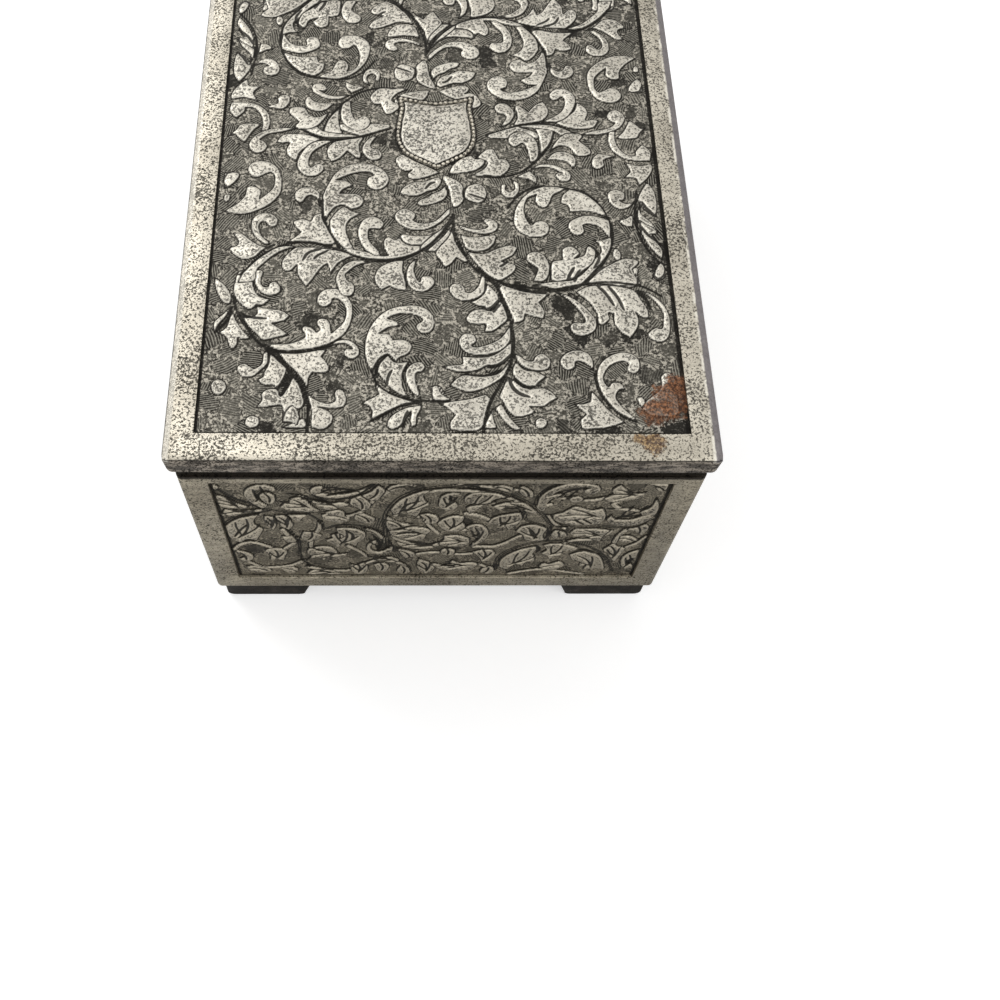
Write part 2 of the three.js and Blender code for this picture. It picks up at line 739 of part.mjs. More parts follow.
const bedScrewLength = basePlateThickness + bedThickness - screwSlotDepth;
addPiece(movement, "bedplate", movementBed(), castZinc);
addScrews(movement, "movement_screw", bedScrewPlaces, -basePlateThickness, bedScrewLength, true);

// Mainspring barrel on the upright winding arbor
const barrelWork = new THREE.Group();
barrelWork.position.set(barrelX, trainY, 0);
movement.add(barrelWork);

function crownTooth(angle) {
  const thickness = toothShare * Math.PI * crownModule;
  const low = barrelHigh - crownRingHeight / 2;
  const high = barrelHigh + crownDedendum + crownAddendum;
  const side = outline([
    [-rootShare * thickness / 2, low],
    [rootShare * thickness / 2, low],
    [tipShare * thickness / 2, high],
    [-tipShare * thickness / 2, high],
  ]);
  return crossSlab(side, [crownInnerRadius, crownOuterRadius]).rotateZ(angle);
}

function springBarrel() {
  const boreRadius = windingArborRadius + runClearance;
  const drum = turned([
    [boreRadius, barrelLow],
    [drumRadius, barrelLow],
    [drumRadius, barrelHigh - crownRingHeight],
    [crownOuterRadius, barrelHigh - crownRingHeight],
    [crownOuterRadius, barrelHigh],
    [drumHollowRadius, barrelHigh],
    [drumHollowRadius, barrelLow + barrelWall],
    [boreRadius, barrelLow + barrelWall],
    [boreRadius, barrelLow],
  ], crownTeeth);
  const toothAngle = 2 * Math.PI / crownTeeth;
  const teeth = Array.from({ length: crownTeeth }, (_, i) => crownTooth((i + 0.5) * toothAngle));
  return joined(drum, ...teeth);
}

const coverLevels = [barrelHigh - coverThickness, barrelHigh];

function barrelCover() {
  return carved(
    rod(drumHollowRadius - seatClearance, coverLevels, [0, 0], crownTeeth),
    rod(windingArborRadius + runClearance, [coverLevels[0] - cutOverrun, coverLevels[1] + cutOverrun]),
  );
}

// Spring strip wound from near the arbor out to the drum wall
function mainspring() {
  const outerRadius = drumHollowRadius - looseClearance;
  const steps = springTurns * coarseSides;
  const growth = (outerRadius - springThickness - springInnerRadius) / steps;
  const strip = (offset) => Array.from({ length: steps + 1 }, (_, i) => {
    const radius = springInnerRadius + offset + growth * i;
    const angle = 2 * Math.PI * i / coarseSides;
    return [radius * Math.cos(angle), radius * Math.sin(angle)];
  });
  const levels = [barrelLow + barrelWall + looseClearance, coverLevels[0] - looseClearance];
  return geometryOf(solidOf(slab(outline([...strip(springThickness), ...strip(0).reverse()]), levels)));
}

// Saw-toothed ratchet wheel that is fixed on the arbor
function ratchetWheel() {
  const points = [];
  for (let i = 0; i < ratchetTeeth; i += 1) {
    const angle = 2 * Math.PI * i / ratchetTeeth;
    for (const radius of [ratchetRadius, ratchetRadius - ratchetToothDepth]) {
      points.push([radius * Math.cos(angle), radius * Math.sin(angle)]);
    }
  }
  const through = [ratchetLevels[0] - cutOverrun, ratchetLevels[1] + cutOverrun];
  const bore = rod(windingArborRadius + seatClearance, through);
  return carved(slab(outline(points), ratchetLevels), bore);
}

const clickNoseY = -ratchetRadius - sideGap;
const clickPivotY = clickNoseY - clickWidth / 2;

// Click with its nose close under the ratchet, seen from the pivot at its left end
function ratchetClick() {
  const half = clickWidth / 2;
  const shape = new THREE.Shape();
  shape.moveTo(0, -half);
  shape.lineTo(clickReach - half, -half);
  shape.lineTo(clickReach, half);
  shape.lineTo(0, half);
  shape.absarc(0, 0, half, Math.PI / 2, 1.5 * Math.PI);
  const through = [ratchetLevels[0] - cutOverrun, ratchetLevels[1] + cutOverrun];
  const pivotHole = rod(clickPivotRadius + runClearance, through, [0, 0], coarseSides);
  return carved(slab(shape, ratchetLevels), pivotHole).translate(-clickReach, clickPivotY, 0);
}

const keyLow = keyGroundClearance - plateTop;
const keyHigh = -basePlateThickness - sideGap;

function windingKey() {
  const hub = rod(keyHubRadius, [keyLow, keyHigh]);
  const halfHeight = (keyHigh - keyLow) / 2 - sideGap;
  const wing = depthSlab(
    roundedRectangle(keyHalfSpan, halfHeight, halfHeight * keyCornerShare),
    [-keyWingThickness / 2, keyWingThickness / 2],
    4,
  ).translate(0, 0, keyLow + halfHeight);
  const bore = rod(windingArborRadius + seatClearance, [keyLow - cutOverrun, keyHigh + cutOverrun]);
  return carved(joined(hub, wing), bore);
}

const pivotPlace = [-clickReach, clickPivotY];
const pivotStud = rod(clickPivotRadius, [bedTop, ratchetLevels[1]], pivotPlace, coarseSides);

addPiece(barrelWork, "spring_barrel", springBarrel(), brass);
addPiece(barrelWork, "barrel_cover", barrelCover(), brass);
addPiece(barrelWork, "mainspring", mainspring(), springSteel);
addPiece(barrelWork, "winding_arbor", rod(windingArborRadius, [keyLow, barrelHigh + arborTopRise]), steel);
addPiece(barrelWork, "ratchet_wheel", ratchetWheel(), steel);
addPiece(barrelWork, "ratchet_click", ratchetClick(), steel);
addPiece(barrelWork, "click_pivot", pivotStud, steel);
addPiece(barrelWork, "winding_key", windingKey(), steel);

// Music cylinder and its train, on an arbor along X
const trainWork = new THREE.Group();
trainWork.position.set(0, trainY, trainZ);
movement.add(trainWork);
const cylinderMiddle = (cylinderSpan[0] + cylinderSpan[1]) / 2;
const noteCount = Math.round((cylinderSpan[1] - cylinderSpan[0] - 2 * noteMargin) / notePitch);
const noteX = (note) => cylinderMiddle + (note + 0.5 - noteCount / 2) * notePitch;

// A running melody with a bass note on every second step, as pairs of note and step
function tune() {
  const notes = [];
  for (let step = 0; step < tuneSteps; step += 1) {
    const melodyNote = (7 * step + 3 * Math.floor(step / 4)) % noteCount;
    notes.push([melodyNote, step]);
    if (step % 2 === 0) notes.push([(melodyNote + 5 + step % 3) % noteCount, step]);
  }
  return notes;
}

function cylinderPin([note, step]) {
  const length = pinRoot + pinHeight;
  const pin = new THREE.CylinderGeometry(pinTipRadius, pinBaseRadius, length, 4);
  pin.translate(0, cylinderRadius + pinHeight - length / 2, 0);
  return pin.rotateX(2 * Math.PI * step / tuneSteps).translate(noteX(note), 0, 0);
}

// Brass tube with an end disc at each side and its pins
function musicCylinder() {
  const boreRadius = cylinderArborRadius + seatClearance;
  const hollowRadius = cylinderRadius - cylinderWall;
  const [left, right] = cylinderSpan;
  const tube = turnedAlongX([
    [boreRadius, left],
    [cylinderRadius, left],
    [cylinderRadius, right],
    [boreRadius, right],
    [boreRadius, right - cylinderWall],
    [hollowRadius, right - cylinderWall],
    [hollowRadius, left + cylinderWall],
    [boreRadius, left + cylinderWall],
    [boreRadius, left],
  ], 2 * fineSides);
  return joined(tube, ...tune().map(cylinderPin));
}

const pinionSpan = [barrelX + crownInnerRadius + runClearance, barrelX + crownOuterRadius - runClearance];
const cylinderArbor = crossRod(
  cylinderArborRadius,
  [pinionSpan[0] - sideGap, rightBracket[1] + sideGap],
  [0, 0],
  coarseSides,
);
const arborSeatRadius = cylinderArborRadius + seatClearance;
const wheelPhase = Math.PI + governorSlope;

addPiece(trainWork, "music_cylinder", musicCylinder(), brass);
addPiece(trainWork, "cylinder_arbor", cylinderArbor, steel);
addPiece(
  trainWork,
  "cylinder_pinion",
  crossGear(cylinderPinionTeeth, crownModule, -Math.PI / 2, pinionSpan, [0, 0], arborSeatRadius),
  steel,
);
addPiece(
  trainWork,
  "cylinder_wheel",
  crossGear(wheelTeeth, wheelModule, wheelPhase, wheelSpan, [0, 0], arborSeatRadius),
  brass,
);

// Bearing bracket: a tapered wall with a round head, on a foot that reaches to one side
function cylinderBracket(wallSpan, footSpan) {
  const halfFoot = bracketFootWidth / 2;
  const wall = new THREE.Shape();
  wall.moveTo(trainY - halfFoot, bedTop);
  wall.lineTo(trainY + halfFoot, bedTop);
  wall.lineTo(trainY + bracketHeadRadius, trainZ);
  wall.absarc(trainY, trainZ, bracketHeadRadius, 0, Math.PI);
  wall.closePath();
  const foot = block(
    footSpan,
    [trainY - halfFoot, trainY + halfFoot],
    [bedTop, bedTop + bracketFootThickness],
  );
  const bore = crossRod(
    cylinderArborRadius + runClearance,
    [wallSpan[0] - cutOverrun, wallSpan[1] + cutOverrun],
    [trainY, trainZ],
    coarseSides,
  );
  const through = [0, bedTop + bracketFootThickness + cutOverrun];
  const holes = screwHoles(bracketScrewPlaces, through, smallShankRadius);
  return carved(joined(crossSlab(wall, wallSpan), foot), bore, ...holes);
}

const leftWork = cylinderBracket(leftBracket, leftBracketFoot);
const rightWork = cylinderBracket(rightBracket, rightBracketFoot);
addPiece(movement, "cylinder_bracket_left", leftWork, castZinc);
addPiece(movement, "cylinder_bracket_right", rightWork, castZinc);
addScrews(
  movement,
  "bracket_screw",
  bracketScrewPlaces,
  bedTop + bracketFootThickness,
  standingScrewLength,
  false,
  [smallHeadRadius, smallShankRadius],
);

// Comb of tuned teeth, the bass teeth longest, on its raised base
const combTipY = trainY - cylinderReach;
const combFrontY = combTipY - combReach;
const combTop = trainZ + combToothThickness / 2;
const combBottom = combTop - combThickness;
const combSpan = [
  noteX(0) - notePitch / 2 - combSideMargin,
  noteX(noteCount - 1) + notePitch / 2 + combSideMargin,
];
const toothStep = (combBassLength - combTrebleLength) / (noteCount - 1);
const toothLength = (note) => combBassLength - toothStep * note;

function combOutline() {
  const points = [
    [combSpan[0], combFrontY],
    [combSpan[1], combFrontY],
    [combSpan[1], combTipY - toothLength(noteCount - 1)],
  ];
  for (let note = noteCount - 1; note >= 0; note -= 1) {
    const halfTooth = (notePitch - combSlit) / 2;
    const rootY = combTipY - toothLength(note);
    const shoulderY = combTipY - combTipLength;
    points.push(
      [noteX(note) + halfTooth, rootY],
      [noteX(note) + halfTooth, shoulderY],
      [noteX(note) + combTipWidth / 2, combTipY],
      [noteX(note) - combTipWidth / 2, combTipY],
      [noteX(note) - halfTooth, shoulderY],
      [noteX(note) - halfTooth, rootY],
    );
  }
  points.push([combSpan[0], combTipY - toothLength(0)]);
  return outline(points);
}

const combScrewY = combFrontY + combBaseDepth / 2;
const combScrewReach = combSpan[1] - combSpan[0] - 2 * (screwHeadRadius + sideGap);
const combScrewCount = 1 + Math.floor(combScrewReach / combScrewPitch);
const combScrewStep = combScrewReach / Math.max(1, combScrewCount - 1);
const combScrewPlaces = Array.from({ length: combScrewCount }, (_, i) => {
  return [cylinderMiddle + (i - (combScrewCount - 1) / 2) * combScrewStep, combScrewY];
});
const combScrewLength = 3 * combThickness;

function musicComb() {
  const plate = slab(combOutline(), [combBottom, combTop]);
  const underTeeth = block(
    [combSpan[0] - cutOverrun, combSpan[1] + cutOverrun],
    [combTipY - combTrebleLength, combTipY + cutOverrun],
    [combBottom - cutOverrun, combTop - combToothThickness],
  );
  const holes = screwHoles(combScrewPlaces, [combBottom - cutOverrun, combTop + cutOverrun]);
  return joined(carved(plate, underTeeth, ...holes), ...combWeights());
}

function combBase() {
  const backTop = combFrontY + combBaseDepth;
  const side = outline([
    [combFrontY, bedTop],
    [backTop + combBaseFlare, bedTop],
    [backTop + combBaseFlare, bedTop + bracketFootThickness],
    [backTop, bedTop + bracketFootThickness + combBaseFlare],
    [backTop, combBottom],
    [combFrontY, combBottom],
  ]);
  return carved(
    crossSlab(side, combSpan),
    ...screwHoles(combScrewPlaces, [combBottom - combScrewLength, combBottom + cutOverrun]),
  );
}

// Lead weights soldered under the bass teeth
function combWeights() {
  const weights = [];
  for (let note = 0; note < Math.round(combWeightShare * noteCount); note += 1) {
    const halfWidth = combTipWidth / 2;
    const back = combTipY - combTipLength;
    weights.push(block(
      [noteX(note) - halfWidth, noteX(note) + halfWidth],
      [back - combWeightLength, back],
      [combTop - combToothThickness - combWeightHeight, combTop - combToothThickness],
    ));
  }
  return weights;
}

addPiece(movement, "comb_base", combBase(), castZinc);
addPiece(movement, "music_comb", musicComb(), steel);
addScrews(movement, "comb_screw", combScrewPlaces, combTop, combScrewLength);

// Speed governor: a cross arbor with pinion and worm wheel, and an upright worm with the fan
const governorSeatRadius = governorArborRadius + seatClearance;
const wormWheelSpan = [wormX - wormWheelThickness / 2, wormX + wormWheelThickness / 2];
const governorPlace = [governorY, governorZ];
const pinionPhase = governorSlope + Math.PI / governorPinionTeeth;
const governorSpan = [wheelSpan[0] - sideGap, cockSpan[1] - sideGap];

addPiece(
  movement,
  "governor_arbor",
  crossRod(governorArborRadius, governorSpan, governorPlace, coarseSides),
  steel,
);
addPiece(
  movement,
  "governor_pinion",
  crossGear(governorPinionTeeth, wheelModule, pinionPhase, wheelSpan, governorPlace, governorSeatRadius),
  steel,
);
addPiece(
  movement,
  "worm_wheel",
  crossGear(
    wormWheelTeeth,
    wheelModule,
    Math.PI,
    wormWheelSpan,
    governorPlace,
    governorSeatRadius,
    wormToothShare,
  ),
  brass,
);

// Bracket of the governor: two cheeks, a foot on the bed and an arm over the worm
function governorCock() {
  const front = wormY - cockCheekFront;
  const back = governorY + cockCheekBack;
  const shoulder = governorZ + cockCheekBack / 2;
  const cheek = outline([
    [front, bedTop],
    [back, bedTop],
    [back, shoulder],
    [wormY + cockCheekFront, cockArm[1]],
    [front, cockArm[1]],
  ]);
  const innerLeft = cockSpan[0] + cockWallThickness;
  const innerRight = cockSpan[1] - cockWallThickness;
  const bored = [cockSpan[0] - cutOverrun, cockSpan[1] + cutOverrun];
  return carved(
    joined(
      crossSlab(cheek, [cockSpan[0], innerLeft]),
      crossSlab(cheek, [innerRight, cockSpan[1]]),
      block(cockSpan, cockFootSpan, [bedTop, cockFootTop]),
      block(cockSpan, [front, wormY + cockCheekFront], cockArm),
    ),
    crossRod(governorArborRadius + runClearance, bored, governorPlace, coarseSides),
    rod(wormShaftRadius + runClearance, [0, cockArm[1] + cutOverrun], [wormX, wormY], coarseSides),
    ...screwHoles(cockScrewPlaces, [0, cockFootTop + cutOverrun], smallShankRadius),
  );
}

addPiece(movement, "governor_cock", governorCock(), castZinc);
addScrews(
  movement,
  "cock_screw",
  cockScrewPlaces,
  cockFootTop,
  standingScrewLength,
  false,
  [smallHeadRadius, smallShankRadius],
);

// Helical thread of the worm as a swept ridge whose foot is sunk in the core
function wormThread() {
  const rootWidth = wormToothShare * wormLead * rootShare;
  const tipWidth = wormToothShare * wormLead * tipShare;
  const section = [
    [wormRootRadius * threadFootShare, -rootWidth / 2],
    [wormTipRadius, -tipWidth / 2],
    [wormTipRadius, tipWidth / 2],
    [wormRootRadius * threadFootShare, rootWidth / 2],
  ];
  const turns = (wormLength - 2 * rootWidth) / wormLead;
  const steps = Math.round(turns * coarseSides);
  const positions = [];
  const faces = [];
  for (let i = 0; i <= steps; i += 1) {
    const turn = (i / steps - 0.5) * turns;
    const angle = 2 * Math.PI * turn + Math.PI / 2;
    for (const [radius, rise] of section) {
      positions.push(radius * Math.cos(angle), radius * Math.sin(angle), (turn + 0.5) * wormLead + rise);
    }
  }
  const ring = section.length;
  for (let i = 0; i < steps; i += 1) {
    for (let j = 0; j < ring; j += 1) {
      const [a, b] = [i * ring + j, i * ring + (j + 1) % ring];
      faces.push(a, a + ring, b, b, a + ring, b + ring);
    }
  }
  const last = steps * ring;
  faces.push(0, 1, 2, 0, 2, 3, last, last + 2, last + 1, last, last + 3, last + 2);
  const ridge = new THREE.BufferGeometry();
  ridge.setAttribute("position", new THREE.Float32BufferAttribute(positions, 3));
  ridge.setIndex(faces);
  return ridge.translate(0, 0, governorZ);
}

const wormWork = new THREE.Group();
wormWork.position.set(wormX, wormY, 0);
movement.add(wormWork);

function worm() {
  const levels = [governorZ - wormLength / 2, governorZ + wormLength / 2];
  const core = rod(wormRootRadius, levels, [0, 0], coarseSides);
  const shaft = rod(wormShaftRadius, [bedTop + runClearance, fanLevels[1]], [0, 0], coarseSides);
  return joined(shaft, core, wormThread());
}

function fan() {
  const hub = rod(fanHubRadius, fanLevels, [0, 0], coarseSides);
  const blades = Array.from({ length: fanBlades }, (_, i) => {
    const blade = block([0, fanRadius], [-fanBladeThickness / 2, fanBladeThickness / 2], fanLevels);
    return blade.rotateZ(2 * Math.PI * i / fanBlades);
  });
  const bore = rod(
    wormShaftRadius + seatClearance,
    [fanLevels[0] - cutOverrun, fanLevels[1] + cutOverrun],
    [0, 0],
    coarseSides,
  );
  return carved(joined(hub, ...blades), bore);
}

addPiece(wormWork, "worm", worm(), steel);
addPiece(wormWork, "fan", fan(), brass);

// Stop wire in its guide tube, with a finger beside the fan and a button under the lid
const stopWork = new THREE.Group();
stopWork.position.set(wormX - stopGuideSideStep, wormY - stopGuideFrontStep, 0);
movement.add(stopWork);
const wireTop = lidLiningBottom - sideGap - plateTop;

function stopGuide() {
  const levels = [cockFootTop, cockFootTop + stopGuideHeight];
  return carved(
    rod(stopGuideRadius, levels, [0, 0], coarseSides),
    rod(stopWireRadius + runClearance, [levels[0] - cutOverrun, levels[1] + cutOverrun], [0, 0], coarseSides),
  );
}

function stopWire() {
  const wire = rod(stopWireRadius, [cockFootTop + sideGap, wireTop], [0, 0], coarseSides);
  const button = rod(stopWireButtonRadius, [wireTop - stopWireButtonHeight, wireTop], [0, 0], coarseSides);
  const fanDistance = Math.hypot(stopGuideSideStep, stopGuideFrontStep);
  const fingerAngle = Math.atan2(stopGuideFrontStep, stopGuideSideStep);
  const finger = crossRod(stopFingerRadius, [0, fanDistance - fanRadius - sideGap], [0, 0], screwSides);
  finger.rotateZ(fingerAngle).translate(0, 0, fanLevels[1] - stopFingerDrop);
  return joined(wire, button, finger);
}

addPiece(stopWork, "stop_guide", stopGuide(), castZinc);
addPiece(stopWork, "stop_wire", stopWire(), steel);

movement.position.set(0, bedCentreY, plateTop);
musicBox.add(movement);

// The hinge stands out behind, so the model moves forward until its box is centred
musicBox.position.y = (lidHalfLength - hingeAxisY - knuckleRadius) / 2;

export default musicBox;
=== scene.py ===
"""Silver-plated cast music box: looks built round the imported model.

Pieces are in metres in the model's own frame; sizes and ornament are written in millimetres.
"""
import math

import bmesh
import bpy
import numpy as np
from mathutils import Matrix, Vector


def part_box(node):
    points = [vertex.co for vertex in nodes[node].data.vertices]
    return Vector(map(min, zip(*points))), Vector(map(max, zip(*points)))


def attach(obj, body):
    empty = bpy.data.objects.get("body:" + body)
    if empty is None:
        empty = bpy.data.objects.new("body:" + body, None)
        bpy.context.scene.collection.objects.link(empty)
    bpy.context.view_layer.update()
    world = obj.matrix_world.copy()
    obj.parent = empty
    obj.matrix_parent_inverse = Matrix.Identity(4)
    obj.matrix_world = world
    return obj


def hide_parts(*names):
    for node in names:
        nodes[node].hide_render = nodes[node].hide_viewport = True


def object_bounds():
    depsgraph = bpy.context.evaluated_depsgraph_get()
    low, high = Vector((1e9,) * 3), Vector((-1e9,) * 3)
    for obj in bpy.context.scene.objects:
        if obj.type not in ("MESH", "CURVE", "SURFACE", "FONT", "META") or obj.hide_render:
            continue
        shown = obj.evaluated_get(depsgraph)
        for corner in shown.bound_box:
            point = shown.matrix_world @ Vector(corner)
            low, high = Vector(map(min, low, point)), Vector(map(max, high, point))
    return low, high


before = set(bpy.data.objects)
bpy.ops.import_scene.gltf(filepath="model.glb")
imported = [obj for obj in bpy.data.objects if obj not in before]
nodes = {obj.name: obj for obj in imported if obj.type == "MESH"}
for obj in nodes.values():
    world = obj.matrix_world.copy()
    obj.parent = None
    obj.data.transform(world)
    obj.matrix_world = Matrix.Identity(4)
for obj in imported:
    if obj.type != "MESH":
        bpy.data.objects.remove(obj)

MM = 0.001

# Places of the model that the looks are fitted to, in millimetres
MIDDLE = np.array([0.0, -1.4])
LID_TOP = 44.8
LID_FRONT = -51.7
LID_FLAT_HALF = 31.6
LID_FIELD = 44.5
LID_FIELD_HALF, LID_FIELD_FRONT, LID_FIELD_REAR = 29.03, -48.18, 45.38
WALL_FIELD_LOW, WALL_FIELD_HIGH = 8.62, 38.18
END_FIELD_HALF, SIDE_FIELD_HALF = 28.13, 46.38
FRONT_FIELD, BACK_FIELD, SIDE_FIELD = -51.0, 48.2, 31.35

model_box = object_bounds()
scene = bpy.context.scene


# Camera at the photograph's place, looking steeply down over the front edge
def set_camera():
    """Places the camera with a matrix whose columns are the camera's right, its up and its backward
    direction.
    """
    lens = bpy.data.cameras.new("camera")
    lens.sensor_width = 36
    lens.lens = 41.44
    lens.shift_x = 0.0668
    lens.clip_start = 0.01
    camera = bpy.data.objects.new("camera", lens)
    scene.collection.objects.link(camera)
    tilt = Matrix.Rotation(math.radians(63.763), 3, "X")
    turn = Matrix.Rotation(math.radians(-1.341), 3, "Y")
    roll = Matrix.Rotation(math.radians(0.051), 3, "Z")
    level = Matrix(((1, 0, 0), (0, 0, -1), (0, 1, 0)))
    right, down, forward = roll @ turn @ tilt @ level
    place = Matrix((right, -down, -forward)).transposed().to_4x4()
    place.translation = Vector((-4.35, -114.35, 161.50)) * MM
    camera.matrix_world = place
    scene.camera = camera


set_camera()


# Meshes from plain arrays, and softened copies of the model's castings
def mesh_piece(name, corners, faces, material, smooth=True):
    """A piece whose corners are in millimetres."""
    mesh = bpy.data.meshes.new(name)
    mesh.from_pydata([tuple(float(v) * MM for v in corner) for corner in corners], [], faces)
    mesh.update()
    if smooth:
        mesh.shade_smooth()
    mesh.materials.append(material)
    piece = bpy.data.objects.new(name, mesh)
    scene.collection.objects.link(piece)
    return piece


def apply_modifiers(piece):
    """Makes the modifiers part of the mesh."""
    bpy.context.view_layer.update()
    seen = piece.evaluated_get(bpy.context.evaluated_depsgraph_get())
    mesh = bpy.data.meshes.new_from_object(seen)
    piece.modifiers.clear()
    piece.data = mesh


def softened(node, name, body, material, width, change=None):
    """A copy of a casting with its edges worn round by a width; change moves its corners first."""
    source = nodes[node]
    mesh = source.data.copy()
    shape = bmesh.new()
    shape.from_mesh(mesh)
    bmesh.ops.remove_doubles(shape, verts=shape.verts, dist=1e-6)
    if change:
        change(shape)
    flat = math.radians(0.5)
    bmesh.ops.dissolve_limit(shape, angle_limit=flat, verts=shape.verts, edges=shape.edges)
    shape.to_mesh(mesh)
    shape.free()
    piece = bpy.data.objects.new(name, mesh)
    scene.collection.objects.link(piece)
    bevel = piece.modifiers.new("worn_edges", "BEVEL")
    bevel.width = width * MM
    bevel.segments = 2
    bevel.limit_method = "ANGLE"
    bevel.angle_limit = math.radians(30)
    bevel.harden_normals = True
    mesh.shade_smooth()
    apply_modifiers(piece)
    piece.data.materials.clear()
    piece.data.materials.append(material)
    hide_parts(node)
    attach(piece, body)


def grid_faces(rows, columns):
    """The quads of a grid of corners, and the numbers of the corners round its edge."""
    number = np.arange(rows * columns).reshape(rows, columns)
    quads = np.stack([number[:-1, :-1], number[:-1, 1:], number[1:, 1:], number[1:, :-1]], -1)
    ring = np.concatenate([number[0, :-1], number[:-1, -1], number[-1, :0:-1], number[:0:-1, 0]])
    return quads.reshape(-1, 4), ring


# Shader maths: a Value wraps a socket, and sums and products of values add Math nodes
class Value:
    """One output of a shader node."""

    def __init__(self, board, socket):
        self.board = board
        self.socket = socket

    def math(self, operation, *others):
        inputs = dict(enumerate((self, *others)))
        return self.board.add("ShaderNodeMath", {"operation": operation}, inputs)

    def __add__(self, other):
        return self.math("ADD", other)

    def __sub__(self, other):
        return self.math("SUBTRACT", other)

    def __rsub__(self, other):
        return self.board.add("ShaderNodeMath", {"operation": "SUBTRACT"}, {0: other, 1: self})

    def __mul__(self, other):
        return self.math("MULTIPLY", other)

    __radd__ = __add__
    __rmul__ = __mul__

    def rising(self, low, high):
        """0 below low, 1 above high, smooth between."""
        settings = {"interpolation_type": "SMOOTHSTEP"}
        return self.board.add("ShaderNodeMapRange", settings, {0: self, 1: low, 2: high})

    def falling(self, low, high):
        return 1 - self.rising(low, high)


class Board:
    """The node tree of one material or world."""

    def __init__(self, name, kind="materials"):
        self.owner = getattr(bpy.data, kind).new(name)
        self.owner.use_nodes = True
        self.tree = self.owner.node_tree
        self.tree.nodes.clear()

    def add(self, kind, settings=None, inputs=None, out=0):
        """A node with its settings and inputs; gives one of its outputs."""
        node = self.tree.nodes.new(kind)
        for key, value in (settings or {}).items():
            setattr(node, key, value)
        for key, value in (inputs or {}).items():
            if isinstance(value, Value):
                self.tree.links.new(value.socket, node.inputs[key])
            else:
                node.inputs[key].default_value = value
        return Value(self, node.outputs[out]) if len(node.outputs) else node

    def place(self):
        """Object coordinates in millimetres."""
        return self.stretched(self.add("ShaderNodeTexCoord", out=3), (1 / MM,) * 3)

    def stretched(self, place, factors):
        settings = {"operation": "MULTIPLY"}
        return self.add("ShaderNodeVectorMath", settings, {0: place, 1: factors})

    def moved(self, place, by):
        return self.add("ShaderNodeVectorMath", {"operation": "ADD"}, {0: place, 1: by})

    def axes(self, place):
        """The x, y and z of a place."""
        return [self.add("ShaderNodeSeparateXYZ", {}, {0: place}, out) for out in range(3)]

    def noise(self, place, scale, detail=3, rough=0.55, warp=0.0, out=0):
        inputs = {"Vector": place, "Scale": scale, "Detail": detail, "Roughness": rough, "Distortion": warp}
        return self.add("ShaderNodeTexNoise", {}, inputs, out)

    def cells(self, place, scale, feature="F1", out=0):
        inputs = {"Vector": place, "Scale": scale}
        return self.add("ShaderNodeTexVoronoi", {"feature": feature}, inputs, out)

    def attribute(self, name):
        return self.add("ShaderNodeAttribute", {"attribute_name": name}, {}, 2)

    def blend(self, share, first, second, kind="MIX"):
        """Two colours mixed by a share."""
        settings = {"data_type": "RGBA", "blend_type": kind}
        colours = [value if isinstance(value, Value) else (*value, 1) for value in (first, second)]
        return self.add("ShaderNodeMix", settings, {0: share, 6: colours[0], 7: colours[1]}, out=2)

    def bumped(self, height, depth):
        """A normal from heights of 0 to 1, which stand for that depth in millimetres."""
        return self.add("ShaderNodeBump", {}, {"Distance": depth * MM, "Height": height})

    def finish(self, **inputs):
        """Principled shader and output; the keywords are the shader's sockets."""
        named = {key.replace("_", " "): value for key, value in inputs.items()}
        for key, value in named.items():
            if isinstance(value, tuple):
                named[key] = (*value, 1)
        shader = self.add("ShaderNodeBsdfPrincipled", {}, named)
        self.add("ShaderNodeOutputMaterial", {}, {0: shader})
        return self.owner


# Colours of the plate, its tarnish and its grime, and the near black that also serves as painted shade
CLEAN_SILVER = (0.560, 0.520, 0.438)
BRIGHT_SILVER = (0.800, 0.760, 0.665)
DULL_SILVER = (0.420, 0.390, 0.330)
# Near black for real pits and grit, and also painted shade in grooves and along the lid's edges
SOOT_AND_SHADE = (0.012, 0.011, 0.009)
RUST = (0.330, 0.150, 0.072)
TAN_RUST = (0.460, 0.315, 0.160)
DARK_RUST = (0.070, 0.034, 0.022)

# Rust on the panel and on the frame beside it: x, y and radius
PANEL_RUST = ((27.2, -43.4, 2.7), (25.0, -45.2, 2.0), (28.2, -41.2, 1.6))
FRAME_RUST = ((24.6, -49.6, 1.6), (22.9, -48.8, 1.0))


def shaded(colour, share):
    """A darker or lighter colour."""
    return tuple(part * share for part in colour)


def pitting(board, place, share=0.5):
    """Fine dark specks and casting pits, 0 on sound metal and 1 in a pit, in clouds."""
    crowding = board.noise(place, 0.13, 3).rising(0.36, 0.66) * 0.06 + share * 0.12
    fine = board.noise(place, 3.5, 2, 0.62) - crowding
    coarse = board.noise(place, 1.7, 3, 0.65) - crowding
    return (fine.falling(0.33, 0.39) * 0.85 + coarse.falling(0.25, 0.31)).math("MINIMUM", 1.0)


def plate_tone(board, place, pits, shade):
    """Silver plate in bright and dull clouds, with a fine grain and its pits."""
    cloud = board.noise(place, 0.11, 4, 0.6).rising(0.34, 0.68)
    grain = board.noise(place, 6.5, 3, 0.7).rising(0.30, 0.70)
    tone = board.blend(cloud * 0.5 + grain * 0.5, shaded(DULL_SILVER, shade), shaded(BRIGHT_SILVER, shade))
    return board.blend(pits * 0.86, tone, shaded(SOOT_AND_SHADE, shade)), grain


